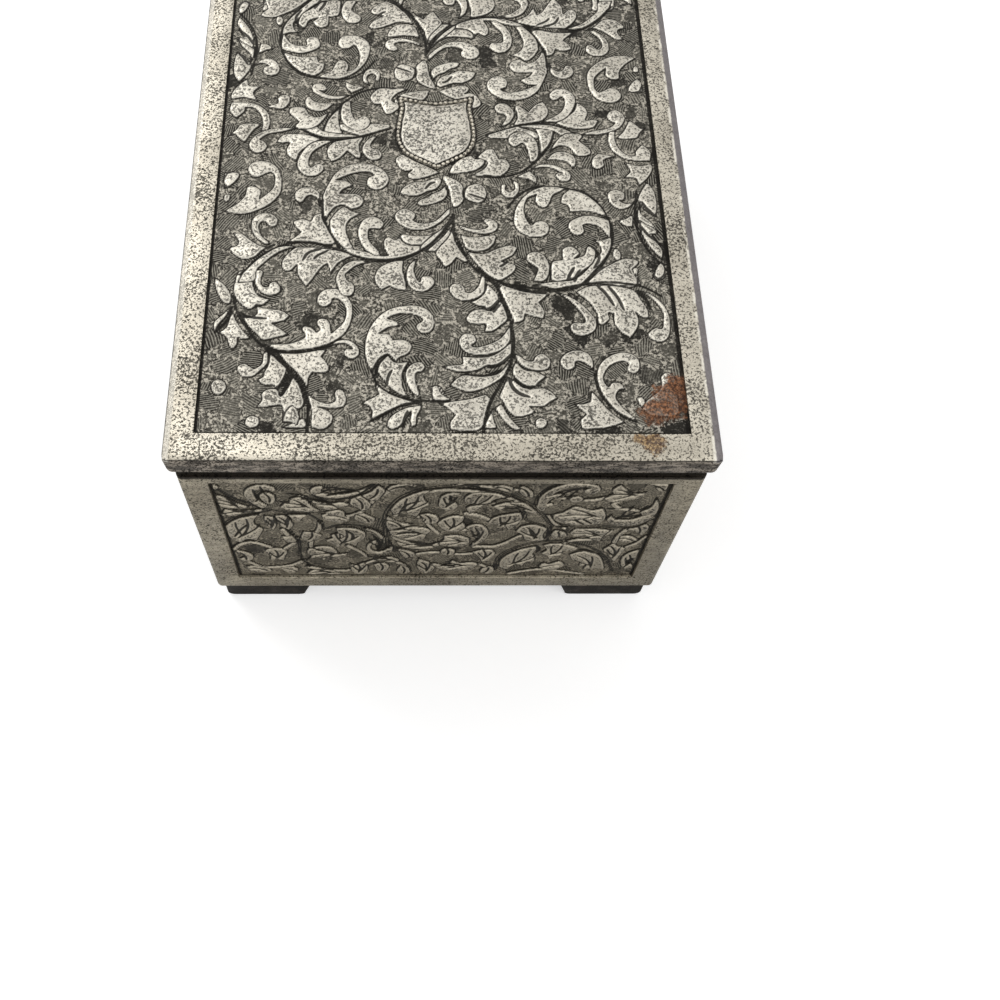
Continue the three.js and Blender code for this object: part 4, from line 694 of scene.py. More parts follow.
# The lid's leaves: x,y of the points round each, in millimetres; ! marks a sharp tip. A leaf
# starts at the left edge and its next rows, if any, start with a space.
LID_LEAVES = """
-25.2,-24.8 -25.7,-26.6 -25.7,-28.3 -24.8,-29.8 -23.6,-30.6 -22.8,-29.9! -22.0,-29.9 -21.2,-29.1!
 -22.5,-28.7 -23.2,-27.6 -23.6,-26.0 -23.6,-24.8
-23.4,-24.8 -23.2,-26.6 -22.6,-27.8 -21.5,-28.5 -20.2,-28.2 -20.0,-27.3 -20.7,-26.4 -21.4,-26.7
 -21.5,-27.2 -22.2,-27.1 -22.5,-26.3 -22.3,-24.8
-24.7,-31.4! -23.8,-31.9 -22.7,-31.3 -22.8,-30.2! -21.3,-30.5 -19.9,-30.7 -18.6,-31.5! -19.4,-32.3
 -20.8,-32.7! -19.8,-33.4 -18.7,-34.3! -19.9,-34.7 -21.7,-35.1 -22.5,-34.3 -23.6,-33.1
-21.5,-35.7! -19.6,-36.6 -17.4,-36.6 -15.3,-36.2 -13.3,-35.4 -11.7,-33.9 -11.0,-31.7 -11.1,-29.7
 -12.1,-28.1 -13.3,-27.4 -14.7,-27.7 -15.4,-28.8 -15.2,-29.8 -14.4,-30.2 -13.6,-29.6 -13.5,-29.0
 -12.9,-29.0 -12.1,-29.7 -11.8,-31.0 -12.1,-32.5 -13.5,-34.1! -13.7,-32.7 -14.2,-32.0 -15.1,-32.0
 -15.3,-32.7 -14.9,-33.5 -15.3,-34.0! -15.9,-33.3 -16.8,-33.1 -17.1,-33.5 -16.7,-34.3 -16.9,-34.9
 -18.5,-35.6 -20.1,-35.7
-13.3,-35.5! -12.5,-35.1 -11.3,-35.1 -10.4,-35.8 -10.0,-36.8 -10.4,-37.6 -11.1,-37.8 -11.8,-37.3
 -11.9,-36.7 -11.5,-36.3 -10.9,-36.4 -11.1,-36.0 -11.9,-35.6 -13.1,-35.7
-19.8,-36.9! -18.0,-37.0 -15.8,-36.6 -14.0,-36.5! -14.6,-37.5! -14.0,-38.2 -13.6,-39.3 -14.3,-39.8
 -15.6,-39.7! -16.0,-40.6 -16.1,-42.0! -16.7,-40.8 -17.5,-39.7 -18.8,-38.3
-16.2,-42.3! -15.4,-43.3 -13.8,-44.0 -12.9,-43.8 -12.7,-43.3 -12.9,-42.7 -12.6,-42.1 -11.9,-42.2
 -11.5,-43.1 -11.5,-44.0 -12.0,-44.6 -13.4,-44.7 -14.8,-44.5! -13.6,-45.0 -12.9,-45.8! -13.1,-46.7
 -13.9,-47.5 -15.1,-47.4 -15.5,-47.0 -15.5,-44.9 -15.9,-43.6
-20.7,-37.1! -19.6,-37.8 -18.8,-38.7 -18.7,-39.4 -19.0,-40.6 -19.7,-42.0! -20.2,-41.5 -21.3,-41.5
 -22.1,-40.8! -21.4,-40.3 -21.3,-39.6 -20.9,-38.7 -20.8,-37.8
-17.9,-40.4! -17.1,-41.5 -16.6,-43.1 -16.4,-44.0 -16.8,-44.7 -18.0,-45.4 -18.8,-46.0! -18.9,-44.9
 -19.1,-44.3 -20.6,-44.5 -22.0,-44.5! -21.4,-43.6 -21.5,-42.7 -20.8,-42.1 -19.7,-42.1 -19.2,-43.1
 -18.4,-41.8
-18.9,-47.3! -17.6,-46.7 -16.6,-46.1 -16.2,-46.4 -16.2,-47.3
-21.3,-36.6! -21.0,-37.3 -21.0,-38.5 -21.7,-39.4 -22.6,-40.3 -23.8,-40.4 -24.5,-39.6 -24.5,-38.8
 -23.7,-38.5 -23.1,-38.9 -22.5,-39.2 -21.7,-38.5 -21.6,-37.3
-25.7,-30.8! -25.3,-32.0 -24.4,-33.5 -23.3,-34.9! -24.3,-35.0! -24.8,-34.8 -24.8,-35.7 -25.3,-36.6!
 -25.8,-35.9 -26.2,-34.7 -27.2,-34.1! -26.3,-33.3 -26.0,-32.1
-26.7,-40.7 -25.9,-41.2 -25.7,-42.0 -26.2,-42.8 -27.0,-42.8 -27.5,-42.0 -27.4,-41.1
-22.4,-45.7 -21.6,-46.1 -21.6,-47.0 -22.3,-47.4 -23.1,-47.0 -23.1,-46.1
-28.2,-25.8! -26.8,-27.1 -26.0,-28.6 -26.0,-29.8! -26.9,-29.6 -27.7,-28.3 -28.1,-27.1
-25.9,-30.2! -26.4,-31.6 -27.3,-33.0 -27.6,-34.0! -27.9,-33.0 -27.7,-32.3 -26.8,-31.3
-8.5,-39.6! -9.2,-38.0 -9.4,-35.8 -9.0,-33.7 -7.9,-31.7 -6.3,-30.4 -4.2,-29.9 -2.4,-30.1 -1.2,-31.2
 -0.9,-32.6 -1.3,-33.7 -2.2,-34.1 -3.0,-33.6 -3.1,-32.8 -2.4,-32.2 -2.7,-31.6 -4.4,-31.1 -5.9,-31.4
 -6.7,-31.9! -5.6,-32.3 -5.2,-33.0! -6.5,-33.2 -7.7,-34.1! -6.5,-34.2 -6.0,-35.0! -4.6,-35.0 -3.7,-35.8
 -4.1,-37.0 -5.2,-37.6 -5.6,-38.2! -6.1,-37.5 -6.6,-37.1 -7.4,-37.5 -8.0,-38.4
-6.6,-37.3! -5.6,-38.3 -4.0,-38.1! -4.7,-39.4 -4.9,-40.8 -4.6,-42.2 -4.0,-43.2! -5.2,-42.7 -6.4,-41.7
 -7.4,-40.3 -7.8,-39.4 -7.4,-38.2
-2.6,-43.3! -3.7,-42.4 -4.4,-40.8 -4.4,-39.4 -3.6,-38.4 -2.6,-38.2 -2.1,-38.9 -2.5,-39.6 -3.1,-39.7
 -3.3,-40.5 -3.0,-41.9
-8.1,-41.3! -7.8,-42.2 -7.6,-42.7! -8.5,-43.3 -9.6,-43.9! -8.7,-44.5 -8.4,-45.1 -8.5,-46.3! -7.4,-45.6
 -5.4,-44.5 -3.1,-43.9! -4.6,-43.4 -6.4,-42.6 -7.4,-41.7
-2.5,-44.2! -4.4,-44.6 -6.0,-45.6 -6.6,-46.7 -6.2,-47.5 -5.2,-47.2 -4.4,-46.0 -3.8,-45.1 -3.9,-46.3
 -3.7,-47.1 -3.2,-46.9 -3.1,-45.8 -2.7,-44.9
-1.5,-41.7! -0.5,-41.5 0.1,-42.4 0.9,-43.8! -0.5,-43.5 -1.3,-42.6
5.5,-26.4! 5.3,-27.9 4.3,-28.8 2.9,-29.2 1.7,-28.8 1.0,-27.7 1.2,-26.8 2.0,-26.5 2.8,-27.0 3.0,-27.8
 3.7,-27.9 4.6,-26.9 5.1,-25.1! 5.5,-25.3
5.7,-26.6! 6.6,-27.6 7.1,-28.6 6.8,-29.6 5.7,-30.6! 5.3,-30.0 4.5,-29.9 3.6,-29.4! 4.5,-28.9 5.4,-27.9
7.3,-29.1! 7.8,-30.4 8.1,-31.9 7.3,-32.8 6.2,-33.7 5.2,-33.7! 5.4,-32.7 4.4,-32.7 3.4,-32.5 2.9,-31.9!
 3.6,-30.8 4.7,-30.4 5.6,-30.6 6.3,-30.6
8.4,-34.1! 8.2,-35.3 7.1,-36.5 5.5,-37.1 3.7,-37.1 2.5,-36.5 2.0,-35.3 2.4,-34.3 3.2,-34.0 4.0,-34.4
 4.1,-35.3 3.5,-35.8 4.3,-36.0 5.8,-35.5 7.2,-34.6 8.4,-32.8!
2.3,-37.3! 3.7,-37.5 5.5,-37.4 6.9,-36.7 8.5,-35.2! 8.3,-37.0 7.5,-38.1 6.3,-38.6 5.3,-38.7 4.3,-39.3
 2.8,-39.6 1.5,-39.5 -0.1,-38.8! 1.3,-38.6 2.4,-38.4
8.3,-37.7! 7.9,-39.1 7.2,-40.3 5.8,-41.4 4.2,-42.2 2.6,-42.3 0.8,-41.5! 1.6,-40.5! 2.7,-40.0 4.8,-40.2
 6.8,-39.7
-1.3,-41.7! -0.7,-41.5 -0.2,-42.6 0.9,-43.4! -0.2,-43.8 -1.2,-43.3
5.1,-42.7! 3.2,-43.3 1.0,-43.7 -0.4,-44.0! 0.6,-44.7 1.4,-45.6! 0.8,-46.5 0.9,-47.5 2.3,-47.7 3.8,-47.7
 4.6,-47.1 5.1,-45.3 5.7,-43.7
5.9,-44.6! 5.0,-46.5 4.8,-47.3 6.2,-47.3 5.9,-46.2
7.8,-40.3! 7.2,-41.7 6.7,-43.0 7.1,-43.7 7.6,-44.9 8.6,-45.8 9.9,-45.6 10.9,-45.1! 10.2,-44.4! 11.8,-44.4
 12.8,-43.7 13.6,-43.2! 12.9,-42.3 11.9,-41.8 10.7,-41.9 9.5,-41.7 8.4,-40.7
8.9,-38.0! 8.5,-38.9 8.4,-39.8 9.2,-41.0 10.3,-41.6 11.5,-41.4! 11.3,-41.2! 12.4,-40.2! 11.2,-39.5
 10.0,-39.3 9.3,-38.7
8.8,-37.0! 9.1,-38.1 10.2,-39.1 11.6,-39.4 12.7,-39.1 13.1,-38.1 12.7,-37.3 12.0,-36.9 11.2,-37.4
 10.9,-38.0 10.1,-37.9 9.3,-37.2
6.9,-26.4! 8.5,-27.1 10.1,-27.7 11.8,-28.0 13.4,-28.1! 12.1,-29.4! 12.7,-30.6 12.6,-31.8! 11.6,-31.6
 10.3,-31.1! 10.0,-32.1 8.9,-32.5! 8.6,-31.4 8.0,-29.6 7.3,-27.6
6.1,-44.6! 7.0,-46.2 8.1,-47.4 9.3,-47.7! 7.8,-45.8 6.9,-44.0!
11.5,-45.9 12.2,-46.3 12.0,-47.1 11.3,-47.4 10.8,-47.0 10.9,-46.2
18.2,-39.3! 18.2,-37.9 17.6,-36.8 16.2,-36.4 14.8,-37.0 14.2,-38.0 14.5,-38.9 15.1,-39.3 15.9,-38.9
 16.1,-38.1 16.9,-38.1 17.7,-38.7
22.6,-46.3! 20.9,-45.3 19.7,-43.9 18.8,-42.1 18.5,-40.2 18.9,-38.6 20.0,-37.4 21.6,-36.7 23.0,-36.9
 23.8,-37.8 23.8,-39.0 23.2,-39.7 22.4,-39.5 22.3,-38.8 22.5,-38.3 21.7,-38.0 20.3,-38.6 19.5,-39.7
 19.3,-40.7 19.8,-41.6 20.3,-41.0 21.3,-41.1 21.8,-41.9! 21.0,-42.1 20.6,-43.2 21.4,-44.6 22.7,-46.0
17.7,-42.2! 17.5,-43.7! 16.5,-44.0 15.5,-43.9! 16.3,-44.8 16.9,-45.4! 16.1,-46.2! 16.3,-47.4 17.8,-47.4
 19.4,-47.2 21.4,-46.5! 20.0,-45.3 18.9,-43.9 18.2,-42.8
26.2,-40.2 27.0,-39.5 27.9,-40.2 27.8,-41.6 28.0,-43.4 27.8,-45.3 26.2,-45.7 24.5,-45.5 23.7,-44.6
 24.0,-43.7 25.8,-42.1 26.2,-41.1
23.1,-43.1! 23.7,-43.0 24.0,-43.7 23.7,-44.4 23.2,-43.9
14.3,-27.8! 15.7,-28.3 17.1,-29.3 18.2,-30.6 19.0,-32.0 18.9,-33.3 18.0,-34.1 16.8,-34.3 15.9,-33.7
 15.8,-32.7 16.7,-32.3 17.5,-32.4 17.6,-31.8 17.0,-30.6 15.9,-29.1
16.8,-27.8! 18.3,-29.3 19.2,-31.1 19.3,-32.5 19.9,-32.7! 20.7,-31.8 20.6,-30.9 21.3,-31.0! 21.2,-32.3
 21.9,-33.7 23.1,-34.6! 24.1,-33.0 24.3,-31.8 24.0,-30.8! 24.9,-31.6 25.6,-31.6! 25.5,-30.3 24.8,-28.8
 24.1,-27.5 22.4,-26.9 20.4,-26.7 18.3,-26.9
24.5,-27.4! 26.0,-28.5 27.3,-30.5 27.3,-32.2 27.0,-33.2 26.2,-33.1 25.3,-33.9 25.5,-34.7 26.6,-35.2
 27.6,-34.7 28.1,-33.2 28.1,-31.0 27.4,-29.3 26.1,-28.0
18.3,-26.4! 20.6,-26.0 23.1,-26.2 25.0,-26.6! 24.7,-25.2! 24.6,-23.9 20.4,-24.0 19.4,-25.2
27.7,-24.0 28.3,-24.7 28.0,-25.6 27.2,-25.8 26.8,-25.2 27.1,-24.4
-25.3,-26.6! -24.6,-24.7 -23.2,-22.8 -21.6,-21.5 -20.0,-20.9 -18.3,-20.9! -20.4,-21.8 -22.1,-23.4
 -23.1,-24.7 -23.3,-26.3
-18.3,-21.0! -19.3,-22.0 -20.0,-23.3 -19.8,-24.5 -19.0,-24.8 -18.1,-23.8! -17.9,-25.4 -16.8,-27.2!
 -16.0,-25.9 -15.1,-24.3 -14.3,-23.6! -13.8,-25.1! -13.0,-23.6 -11.6,-22.6 -10.6,-22.4! -12.8,-21.6
 -15.4,-21.1
-26.4,-18.9! -25.3,-18.9 -24.4,-19.7 -23.4,-20.5 -22.3,-21.0 -21.0,-20.6! -22.5,-21.5 -23.6,-22.7
 -25.1,-22.9 -26.2,-22.1 -26.8,-21.2! -25.8,-20.8 -25.7,-20.0
-22.3,-20.6! -23.6,-19.4 -24.2,-17.9 -24.0,-16.4 -23.0,-15.6 -21.7,-15.7 -20.9,-16.5 -21.0,-17.6
 -21.8,-17.7 -22.4,-17.0 -22.9,-17.0 -23.2,-17.8 -22.8,-19.2 -21.7,-20.4
-19.4,-20.2! -18.2,-19.1 -17.8,-18.6! -18.5,-17.8 -18.9,-16.9! -17.7,-16.5 -16.6,-16.9! -16.2,-15.9
 -15.3,-15.6 -15.1,-16.7 -14.2,-18.3 -13.3,-20.4! -14.5,-20.6 -16.2,-20.2 -17.9,-20.1
-14.7,-16.7! -15.3,-14.5 -15.2,-12.6 -14.6,-10.7 -13.6,-8.7 -11.9,-7.4 -9.9,-7.1 -8.2,-7.6 -6.9,-8.9
 -6.7,-10.3 -7.5,-11.4 -8.6,-11.6 -9.5,-10.8 -9.4,-9.6 -8.6,-9.1 -9.5,-8.6 -11.4,-8.9 -13.6,-10.0!
 -12.3,-10.1 -11.3,-10.9! -12.5,-11.5 -13.1,-12.3! -11.8,-12.3 -10.6,-12.4 -9.9,-13.4 -10.3,-14.4
 -11.5,-14.9! -12.4,-14.2 -13.5,-14.5 -14.3,-15.6
-14.2,-16.7! -13.4,-15.3 -12.4,-14.5 -11.4,-15.2! -10.2,-15.6! -11.5,-16.4 -12.1,-17.8 -11.8,-19.4
 -11.2,-20.9 -10.5,-22.0! -11.6,-21.7 -12.9,-20.4 -14.0,-18.6
-12.6,-21.3! -11.2,-22.2 -9.5,-22.7 -7.0,-22.9 -4.5,-22.4 -2.4,-21.3 -0.7,-19.5 0.6,-17.7! -0.2,-19.8
 -1.9,-20.6 -4.0,-20.6 -5.1,-19.7 -5.1,-18.8! -5.7,-19.8 -6.6,-19.3 -7.2,-19.8 -7.2,-21.0 -6.6,-22.3!
 -7.6,-22.3 -9.5,-21.7 -11.2,-21.3
-8.4,-22.3! -9.7,-21.2 -10.5,-19.3 -10.4,-17.5 -9.6,-16.3 -8.3,-16.1 -7.3,-17.0 -7.6,-18.0 -8.7,-18.0
 -9.2,-18.3 -9.1,-19.9 -8.0,-21.4 -7.6,-22.3!
-5.1,-18.8! -3.6,-19.0 -1.5,-19.0 0.6,-17.7! -0.2,-19.8 -1.9,-20.5 -4.0,-20.5 -5.0,-19.7
1.3,-15.5! -0.2,-17.1 -1.9,-18.1 -3.8,-18.1 -5.3,-17.2 -5.9,-16.1 -5.5,-15.1 -4.5,-14.7 -3.4,-15.3
 -3.2,-16.1 -3.5,-16.6 -2.3,-17.1 -0.6,-16.6 1.3,-14.4!
-27.8,-15.3! -26.3,-14.1 -25.3,-12.7 -25.1,-11.3 -24.1,-11.2 -23.3,-11.9 -23.4,-13.3! -22.5,-12.4
 -21.7,-11.3 -21.6,-9.6 -22.1,-8.8 -22.9,-9.1 -23.8,-9.6 -24.8,-9.2 -25.2,-8.1 -24.6,-7.1 -23.3,-6.8
 -21.7,-7.5 -20.8,-9.3 -20.6,-11.6 -21.2,-13.2 -22.6,-14.6 -24.5,-15.6 -26.4,-15.7
-15.6,-14.3! -15.9,-13.2 -16.7,-12.6 -17.4,-12.9 -17.8,-13.7 -18.6,-13.5 -18.9,-12.4 -18.3,-11.5
 -17.2,-11.2 -16.1,-11.7 -15.6,-12.6
-28.1,-8.8! -27.1,-8.8 -26.4,-9.1! -27.2,-10.2 -28.0,-11.5! -28.2,-10.0
-28.0,-12.7 -27.2,-12.6 -27.3,-13.5 -27.8,-13.8
-19.2,-1.1! -20.9,-1.0 -22.7,-1.3 -24.4,-2.2 -25.3,-3.7 -25.1,-4.8 -24.2,-5.5 -23.2,-5.1 -22.9,-4.1
 -23.5,-3.3 -23.9,-3.1 -22.9,-2.2 -20.9,-1.7
-28.0,-2.4! -27.1,-1.3 -26.5,-0.4 -24.1,-0.4 -24.9,-1.6 -25.5,-2.8 -25.9,-3.7! -26.8,-2.8 -27.3,-2.2
-19.2,-0.4! -17.8,-1.5 -15.8,-2.5 -13.8,-2.7 -11.1,-2.5 -8.9,-1.8 -6.7,-1.1! -7.2,-0.2 -14.5,-0.3!
 -12.7,-1.5 -10.9,-2.2! -13.4,-2.0 -15.6,-1.5 -17.0,-0.3
-21.7,-3.6! -20.9,-2.3 -19.1,-2.0 -17.3,-2.3 -15.8,-3.0! -17.1,-3.9 -18.5,-5.3 -18.9,-6.8! -20.0,-5.9
 -20.3,-4.8 -19.9,-3.6 -20.8,-3.7
-14.0,-3.2! -16.2,-3.3 -17.7,-4.4 -18.7,-6.5 -18.6,-8.2 -17.5,-9.3 -16.2,-9.3 -15.3,-8.4 -15.4,-7.4
 -16.3,-7.3 -16.9,-7.9 -17.3,-7.0 -16.8,-5.3 -15.5,-4.1
-14.0,-3.4! -14.8,-4.4 -14.9,-5.6 -14.3,-6.9! -13.2,-6.3 -12.2,-5.0! -11.1,-6.1! -10.4,-6.0 -10.7,-4.1
 -10.2,-2.6 -12.0,-2.9
-8.3,-2.3! -9.4,-2.8 -10.2,-4.1 -10.2,-5.2 -9.3,-6.4 -8.2,-6.5 -7.6,-5.8 -8.0,-4.8 -8.9,-4.5 -9.1,-3.8
-8.9,-23.3! -10.7,-23.0 -12.2,-23.8 -13.1,-25.4 -13.0,-26.9 -12.3,-28.4 -11.2,-28.5 -10.8,-27.6
 -11.0,-26.7 -11.7,-26.2 -12.0,-25.3 -11.5,-24.7 -10.5,-23.8
-4.7,-23.0! -6.1,-23.2 -7.6,-24.0 -8.3,-25.3 -8.2,-26.6 -7.5,-27.6! -6.4,-27.0! -5.5,-27.5 -4.3,-27.7!
 -4.5,-26.2 -4.8,-24.5
-3.0,-22.7! -4.0,-23.7 -4.4,-25.3 -4.2,-26.6 -3.6,-27.5 -2.4,-27.9 -1.4,-27.4 -0.8,-26.4 -1.3,-25.5
 -2.4,-25.5 -2.7,-26.4 -3.2,-25.5 -3.4,-24.3
-1.9,-21.6! -0.7,-21.6 -0.3,-22.4 -0.1,-23.2 0.7,-24.0! 1.2,-22.9 1.3,-17.6! 0.2,-19.3
12.0,-6.7! 11.8,-4.7 11.2,-3.4 10.1,-4.1 9.3,-3.3 9.5,-2.1 10.6,-1.4 12.0,-1.8 13.0,-2.9 13.3,-4.7 12.9,-6.4
12.3,0.0! 13.1,-1.2 13.5,-3.2 13.5,-5.4! 14.8,-3.5 15.4,-1.7 15.6,0.0
16.2,-2.3! 17.3,-1.6 18.9,-1.7 19.4,-2.1! 18.8,-2.9! 20.1,-4.3 20.2,-5.2 19.3,-5.6 18.2,-5.4 17.4,-4.1
 16.1,-3.8 14.8,-4.8! 15.4,-3.5
14.2,-6.3! 15.4,-5.0 16.9,-4.9 18.0,-5.7 18.1,-7.0 17.7,-7.7! 17.0,-6.7 15.7,-6.3
12.1,-7.9! 13.3,-7.1 15.0,-7.1 16.5,-7.8 17.3,-8.7 17.1,-9.8 16.0,-9.9 15.3,-9.1 15.6,-8.5 16.3,-8.6!
 15.0,-7.8 13.7,-7.6
9.9,-9.4! 11.0,-8.7 11.9,-8.2! 12.7,-9.3 12.7,-10.4! 11.6,-9.6
8.1,-10.5! 8.0,-11.8 8.6,-12.7 9.7,-12.7 10.4,-11.5 10.3,-10.3 9.4,-9.6! 9.7,-10.4 9.8,-11.3 9.1,-11.8
 8.6,-11.4 8.7,-10.6
16.5,-11.1! 13.9,-10.8 11.7,-11.8 10.1,-13.8 9.5,-16.0 9.7,-17.8 11.0,-19.0 12.4,-19.2 13.6,-18.8
 14.0,-17.5 13.4,-16.6 12.3,-16.7 11.7,-17.3 11.1,-16.2 10.9,-14.6 11.4,-12.9 12.6,-12.2! 12.4,-13.2
 12.9,-14.2 13.8,-14.3 14.3,-13.5 14.8,-12.3 15.9,-11.6
17.0,-11.3! 18.5,-11.8 19.9,-12.9 21.1,-14.5 21.6,-15.9! 20.2,-15.2 18.5,-14.9 16.8,-15.1! 16.6,-14.0
 15.7,-13.6! 16.0,-12.3
21.8,-16.4! 20.6,-15.9 18.9,-15.6 17.3,-16.2 16.5,-17.0 16.7,-18.3 17.6,-18.9 18.5,-18.3 18.4,-17.2
 19.6,-17.1 20.8,-17.8 21.7,-19.6! 21.9,-17.7
21.9,-19.1! 21.7,-20.9 20.7,-23.1 19.3,-24.9 17.7,-26.6 16.0,-26.9 14.3,-27.3 13.1,-27.0 11.4,-26.7!
 14.0,-26.2 16.5,-25.9 18.3,-24.4 19.6,-22.5 20.4,-21.5 20.2,-20.2 19.5,-19.6! 20.7,-19.6
15.5,-21.0! 16.4,-20.6 17.2,-21.0 17.7,-21.8! 16.9,-22.6! 18.2,-22.0 18.7,-20.7 19.5,-20.7 19.7,-21.8
 19.2,-23.3 18.0,-24.4 16.5,-25.7 14.0,-26.1 13.9,-24.4 14.1,-23.1 15.4,-22.8! 15.4,-21.8
11.5,-26.1! 11.9,-25.2 12.2,-24.2 11.6,-23.6 10.9,-22.9 11.0,-21.9 12.1,-21.5 13.1,-22.1 13.7,-23.6
 13.5,-25.2 12.9,-26.1
2.2,-17.2! 3.6,-17.8 5.0,-18.0 6.1,-17.6 5.7,-16.9 5.6,-16.4 6.6,-16.3 7.4,-17.1 7.2,-18.1 6.1,-18.7
 4.4,-18.6 2.7,-17.9
2.5,-18.7! 3.5,-19.2 5.0,-19.2 6.7,-18.9 7.1,-19.2 6.8,-20.3! 5.8,-21.3 4.1,-21.5 3.1,-20.8
3.3,-21.6! 5.4,-21.9 7.1,-21.1 8.8,-20.5 9.8,-20.9! 9.1,-22.1 7.6,-23.1! 8.9,-23.4 9.5,-23.9 9.0,-24.9
 7.5,-26.0 6.3,-25.7 4.7,-23.9
1.7,-16.3! 0.8,-17.9 -0.5,-19.8 -2.0,-21.4 -2.6,-20.9 -1.3,-19.3 -0.1,-18.2 1.0,-16.8
1.6,-17.6! 1.8,-19.8 2.6,-21.6 3.6,-23.2! 2.8,-23.1 2.0,-22.5! 1.3,-23.5 0.5,-24.1! -0.1,-22.9 -0.7,-21.9
 -0.1,-20.8 1.0,-19.3
25.3,-13.4! 24.6,-14.2 23.5,-14.6 22.4,-13.9 21.9,-12.6 22.2,-11.6 23.3,-11.3 24.2,-12.0 24.0,-13.0
 23.4,-13.1 24.2,-13.6
28.1,-6.3! 25.9,-6.3 24.2,-5.7 23.0,-4.3 22.7,-2.5 23.2,-0.8 24.0,-0.0 23.7,-1.9 23.9,-3.7 24.9,-5.2
 26.2,-5.4! 26.3,-4.6 27.3,-3.4! 28.3,-4.8
23.4,-5.6! 22.2,-5.3 21.1,-5.2 20.3,-6.2 20.3,-7.4 21.1,-7.8 21.9,-7.2 21.9,-6.2
24.6,-6.6! 26.5,-7.2 28.1,-6.9 28.2,-8.0 27.4,-9.4 26.2,-10.7! 25.9,-9.4 24.3,-9.3! 25.2,-8.3 25.1,-7.6
27.3,-10.0! 26.3,-11.7 25.9,-13.1 26.7,-14.7 28.0,-15.7! 28.3,-13.6 28.1,-11.4
26.0,-13.8! 26.1,-15.3 27.2,-16.6 28.1,-18.2! 27.1,-17.7 25.8,-17.0 25.6,-15.3
23.0,-16.4! 24.0,-16.1 24.9,-15.6 24.8,-17.5! 23.7,-17.2
22.3,-20.8! 22.9,-21.7 22.7,-22.8 22.0,-22.5 21.9,-21.5
18.3,-26.3! 20.1,-24.4 21.7,-23.3 23.4,-22.5 25.1,-23.0 24.1,-24.3! 24.6,-25.9 24.1,-26.9 20.2,-26.5
28.0,-23.0! 28.3,-24.3 27.7,-25.5 26.9,-25.2 27.3,-23.9
-4.9,-5.5! -5.8,-6.2 -5.7,-7.0 -5.2,-7.9 -4.4,-8.4 -3.6,-8.2! -4.2,-8.8! -4.2,-9.4 -3.4,-9.8 -2.6,-9.7!
 -1.2,-9.2 0.0,-8.6! -1.2,-7.8 -3.0,-6.8
-5.3,-12.2! -4.8,-11.2 -4.1,-10.6 -3.2,-10.2 -2.2,-10.2 -1.2,-9.8 -0.3,-9.4 0.3,-9.9! 0.0,-10.8 -0.6,-11.5
 -1.5,-11.8 -2.3,-12.3! -3.1,-12.6 -4.2,-12.5
-3.1,-14.0! -2.6,-13.2 -1.6,-12.8 -1.0,-12.2 0.0,-11.7 0.6,-10.9! 1.0,-12.0 0.7,-12.9 0.0,-13.5 -1.2,-14.0
 -2.2,-14.2
0.5,-9.0! 1.6,-9.5 2.6,-10.2 3.1,-11.2 2.9,-12.2 3.1,-13.2 2.4,-14.2 1.8,-14.5! 1.4,-13.5 1.3,-12.3
 1.0,-11.0 0.5,-9.9
3.2,-12.2 3.5,-11.1 4.2,-10.6 5.2,-10.5 5.9,-11.2 6.1,-12.2 5.8,-13.2 5.0,-13.7 4.0,-13.4 3.3,-12.8
1.2,-8.8! 1.6,-7.6 2.4,-6.6 3.2,-6.0 4.2,-5.6! 4.8,-6.2 5.6,-6.2 6.1,-6.7! 5.7,-7.4 4.9,-8.1 3.8,-8.5
 2.6,-8.7
5.0,-6.0! 5.6,-5.2 6.4,-4.5 7.2,-4.5 7.6,-5.4 7.9,-6.2! 8.6,-6.2 9.2,-6.8 9.3,-7.6 8.8,-8.5 8.1,-9.1!
 6.8,-9.3 5.4,-9.2 4.2,-9.0! 5.3,-8.4 6.1,-7.6 6.3,-6.7
25.8,-16.4! 25.8,-18.2 26.4,-20.0 27.2,-21.4 28.1,-22.6! 28.3,-21.2 27.6,-19.8 27.1,-18.6! 27.9,-18.4
 27.4,-17.6 26.5,-17.0
-27.8,-9.0! -26.8,-8.8 -26.2,-9.3 -26.7,-10.4 -27.6,-11.4! -28.2,-10.4
-18.8,-46.6! -18.6,-45.4 -17.9,-44.4 -17.2,-44.9 -16.9,-46.0 -17.1,-47.0! -17.9,-46.6
"""

